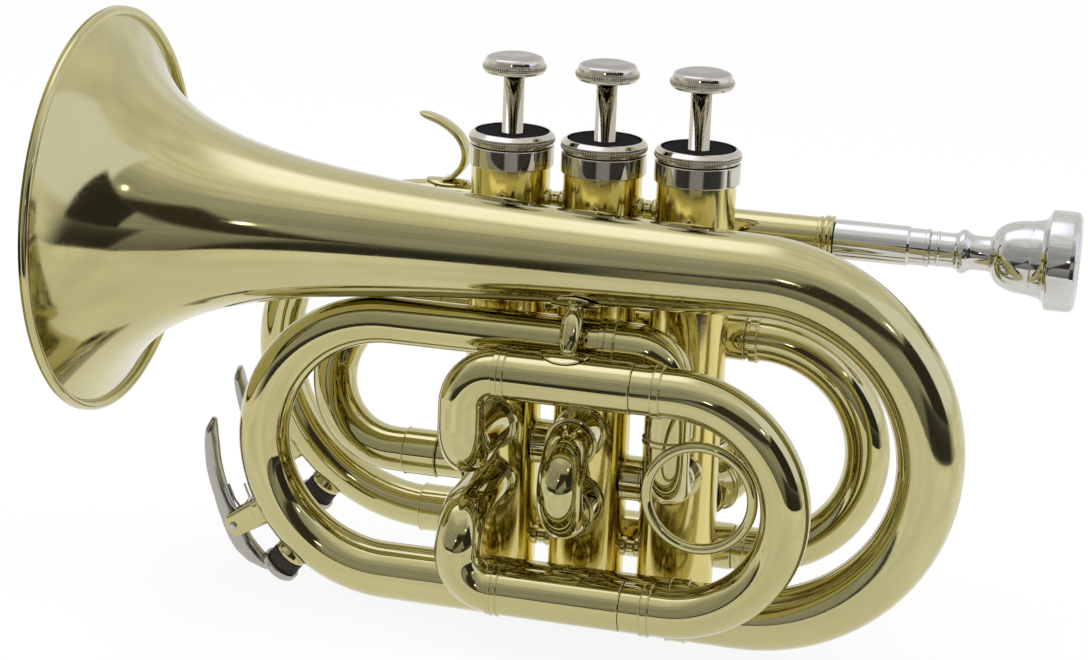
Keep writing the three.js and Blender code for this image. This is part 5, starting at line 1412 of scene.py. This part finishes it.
def paintedRoomReflection(tree, spot, axes, turn):
    # Painted reflections of a pale room, glowing on a card: a grey wall behind the camera, a bright window, two dark
    # patches, glints of small lamps and a softbox highlight.
    v = studio
    rise = maths(tree, "DEGREES", maths(tree, "ARCSINE", maths(tree, "DIVIDE", axes["Z"], v["radius"])))
    streak = noise(tree, scaled(tree, spot, v["streakStretch"]), v["streakScale"], 3.0, 0.6)
    streak = spread(tree, streak, *v["streaks"], 0.32, 0.68)
    wall = maths(tree, "MULTIPLY", toneRamp(tree, rise, v["wallTones"]), streak)
    wall = maths(tree, "MINIMUM", wall, 1.0)
    pale = spread(tree, noise(tree, spot, v["mottleScale"], 2.0), *v["mottle"], 0.3, 0.7)
    tone = spread(tree, within(tree, turn, *v["wallTurn"]), pale, wall)
    # The window and the two dark patches are painted reflections on the card.
    for edges, shade, soft in v["patches"]:
        cover = 1.0
        for a, b, c in edges:
            side = maths(tree, "ADD", maths(tree, "MULTIPLY", turn, a), maths(tree, "MULTIPLY", rise, b))
            cover = maths(tree, "MULTIPLY", cover, within(tree, side, -400.0, c, soft))
        tone = covered(tree, cover, tone, shade)
    # Painted lamp glints: small bright discs on the card.
    for centre, size, bright in v["paintedGlints"]:
        tone = covered(tree, disc(tree, turn, rise, centre, size, v["glintSoft"]), tone, (bright,) * 3)
    # The painted softbox highlight, brighter than white, is added on the card.
    box = v["paintedSoftbox"]
    above = within(tree, rise, *box["rise"])
    for axis in "XY":
        above = maths(tree, "MULTIPLY", above, within(tree, maths(tree, "DIVIDE", axes[axis], axes["Z"]), *box[axis]))
    tone = output(tree, "ShaderNodeVectorMath", "Vector", {0: above, 1: box["tone"], 2: tone}, operation="MULTIPLY_ADD")
    return tone, None


def paintedFarReflection(tree, spot, axes, turn):
    # A painted reflection of the dark floor beyond the white paper.
    v = studio
    far = output(tree, "ShaderNodeVectorMath", "Value", {0: spot}, operation="LENGTH")
    mottle = spread(tree, noise(tree, spot, v["farMottleScale"], 2.0), *v["farMottle"], 0.3, 0.7)
    wedge = within(tree, turn, *v["wedgeTurn"])
    tone = spread(tree, wedge, toneRamp(tree, far, v["farTones"]), toneRamp(tree, far, v["wedgeTones"]))
    return maths(tree, "MULTIPLY", tone, mottle), within(tree, turn, *v["farTurn"])


def roomScreen(low):
    # A dome of painted room reflections round the part, glowing only for the metal.
    radius, steps, rises = (studio[k] for k in ("radius", "steps", "rises"))
    first = math.asin(low / radius)
    vertices = []
    for share in shares(rises):
        e = first + (math.pi / 2 - 0.002 - first) * share
        wide, high = radius * math.cos(e), radius * math.sin(e)
        vertices += [(wide * math.cos(a), wide * math.sin(a), high) for a in turns(steps)]
    addScreen("roomScreen", vertices, skin(evenRings(rises, steps), False, True), paintedRoomReflection)


def farReflectionCard(low):
    # A card just above the floor beyond the paper, glowing only for the metal with a painted dark reflection.
    edge, steps = studio["paperEdge"], studio["steps"]
    vertices = []
    for share in shares(steps + 1):
        turn = edge[0][0] + (edge[-1][0] - edge[0][0]) * share
        j = max(n for n in range(len(edge) - 1) if edge[n][0] <= turn + 1e-6)
        (a0, r0), (a1, r1) = edge[j], edge[j + 1]
        near, a = r0 + (r1 - r0) * (turn - a0) / (a1 - a0), math.radians(turn)
        vertices += [(r * math.cos(a), r * math.sin(a), low) for r in (near, studio["radius"])]
    faces = [(2 * i, 2 * i + 1, 2 * i + 3, 2 * i + 2) for i in range(steps)]
    addScreen("farReflectionCard", vertices, faces, paintedFarReflection)


def addWorld():
    world = bpy.data.worlds.new("studio")
    world.use_nodes = True
    tree = world.node_tree
    tree.nodes.clear()
    dim, white = (output(tree, "ShaderNodeBackground", 0, {"Color": (1, 1, 1, 1), "Strength": strength})
                  for strength in (studio["worldStrength"], 1.0))
    mix = output(tree, "ShaderNodeMixShader", 0, {0: whiteForEye(tree), 1: dim, 2: white})
    addNode(tree, "ShaderNodeOutputWorld", {"Surface": mix})
    bpy.context.scene.world = world


def addFloor(floorZ):
    v = studio
    half = v["floorSize"] / 2
    corners = [(-half, -half, floorZ), (half, -half, floorZ), (half, half, floorZ), (-half, half, floorZ)]
    mesh = newMesh("floor", corners, [(0, 1, 2, 3)])
    material, tree, shader, spot = newMaterial("paleFloor")
    feed(tree, shader, {"Base Color": (0.9, 0.9, 0.9, 1), "Roughness": 0.9, "Specular IOR Level": 0.0})
    share = maths(tree, "MULTIPLY", whiteForEye(tree), v["floorGlow"])
    # In reflections the paper's glow is a little uneven, a painted reflection; the camera sees it plain.
    paintedPaperMottle = spread(tree, noise(tree, spot, v["paperScale"], 2.0), *v["paper"], 0.3, 0.7)
    mirrored = output(tree, "ShaderNodeLightPath", "Is Glossy Ray")
    glow = output(tree, "ShaderNodeEmission", 0, {
        "Color": (1, 1, 1, 1), "Strength": spread(tree, mirrored, 1.0, paintedPaperMottle)})
    mix = output(tree, "ShaderNodeMixShader", 0, {0: share, 1: shader.outputs[0], 2: glow})
    feed(tree, tree.nodes["Material Output"], {"Surface": mix})
    mesh.materials.append(material)
    addObject("floor", mesh)


addCamera()
addWorld()
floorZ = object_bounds()[0].z - studio["floorDrop"]
addFloor(floorZ)
roomScreen(floorZ + studio["screenLift"])
farReflectionCard(floorZ + studio["screenLift"])
for lamp in studio["lamps"]:
    addLamp(*lamp)
bpy.context.scene.view_settings.view_transform = "Standard"
print("camera and studio ready")
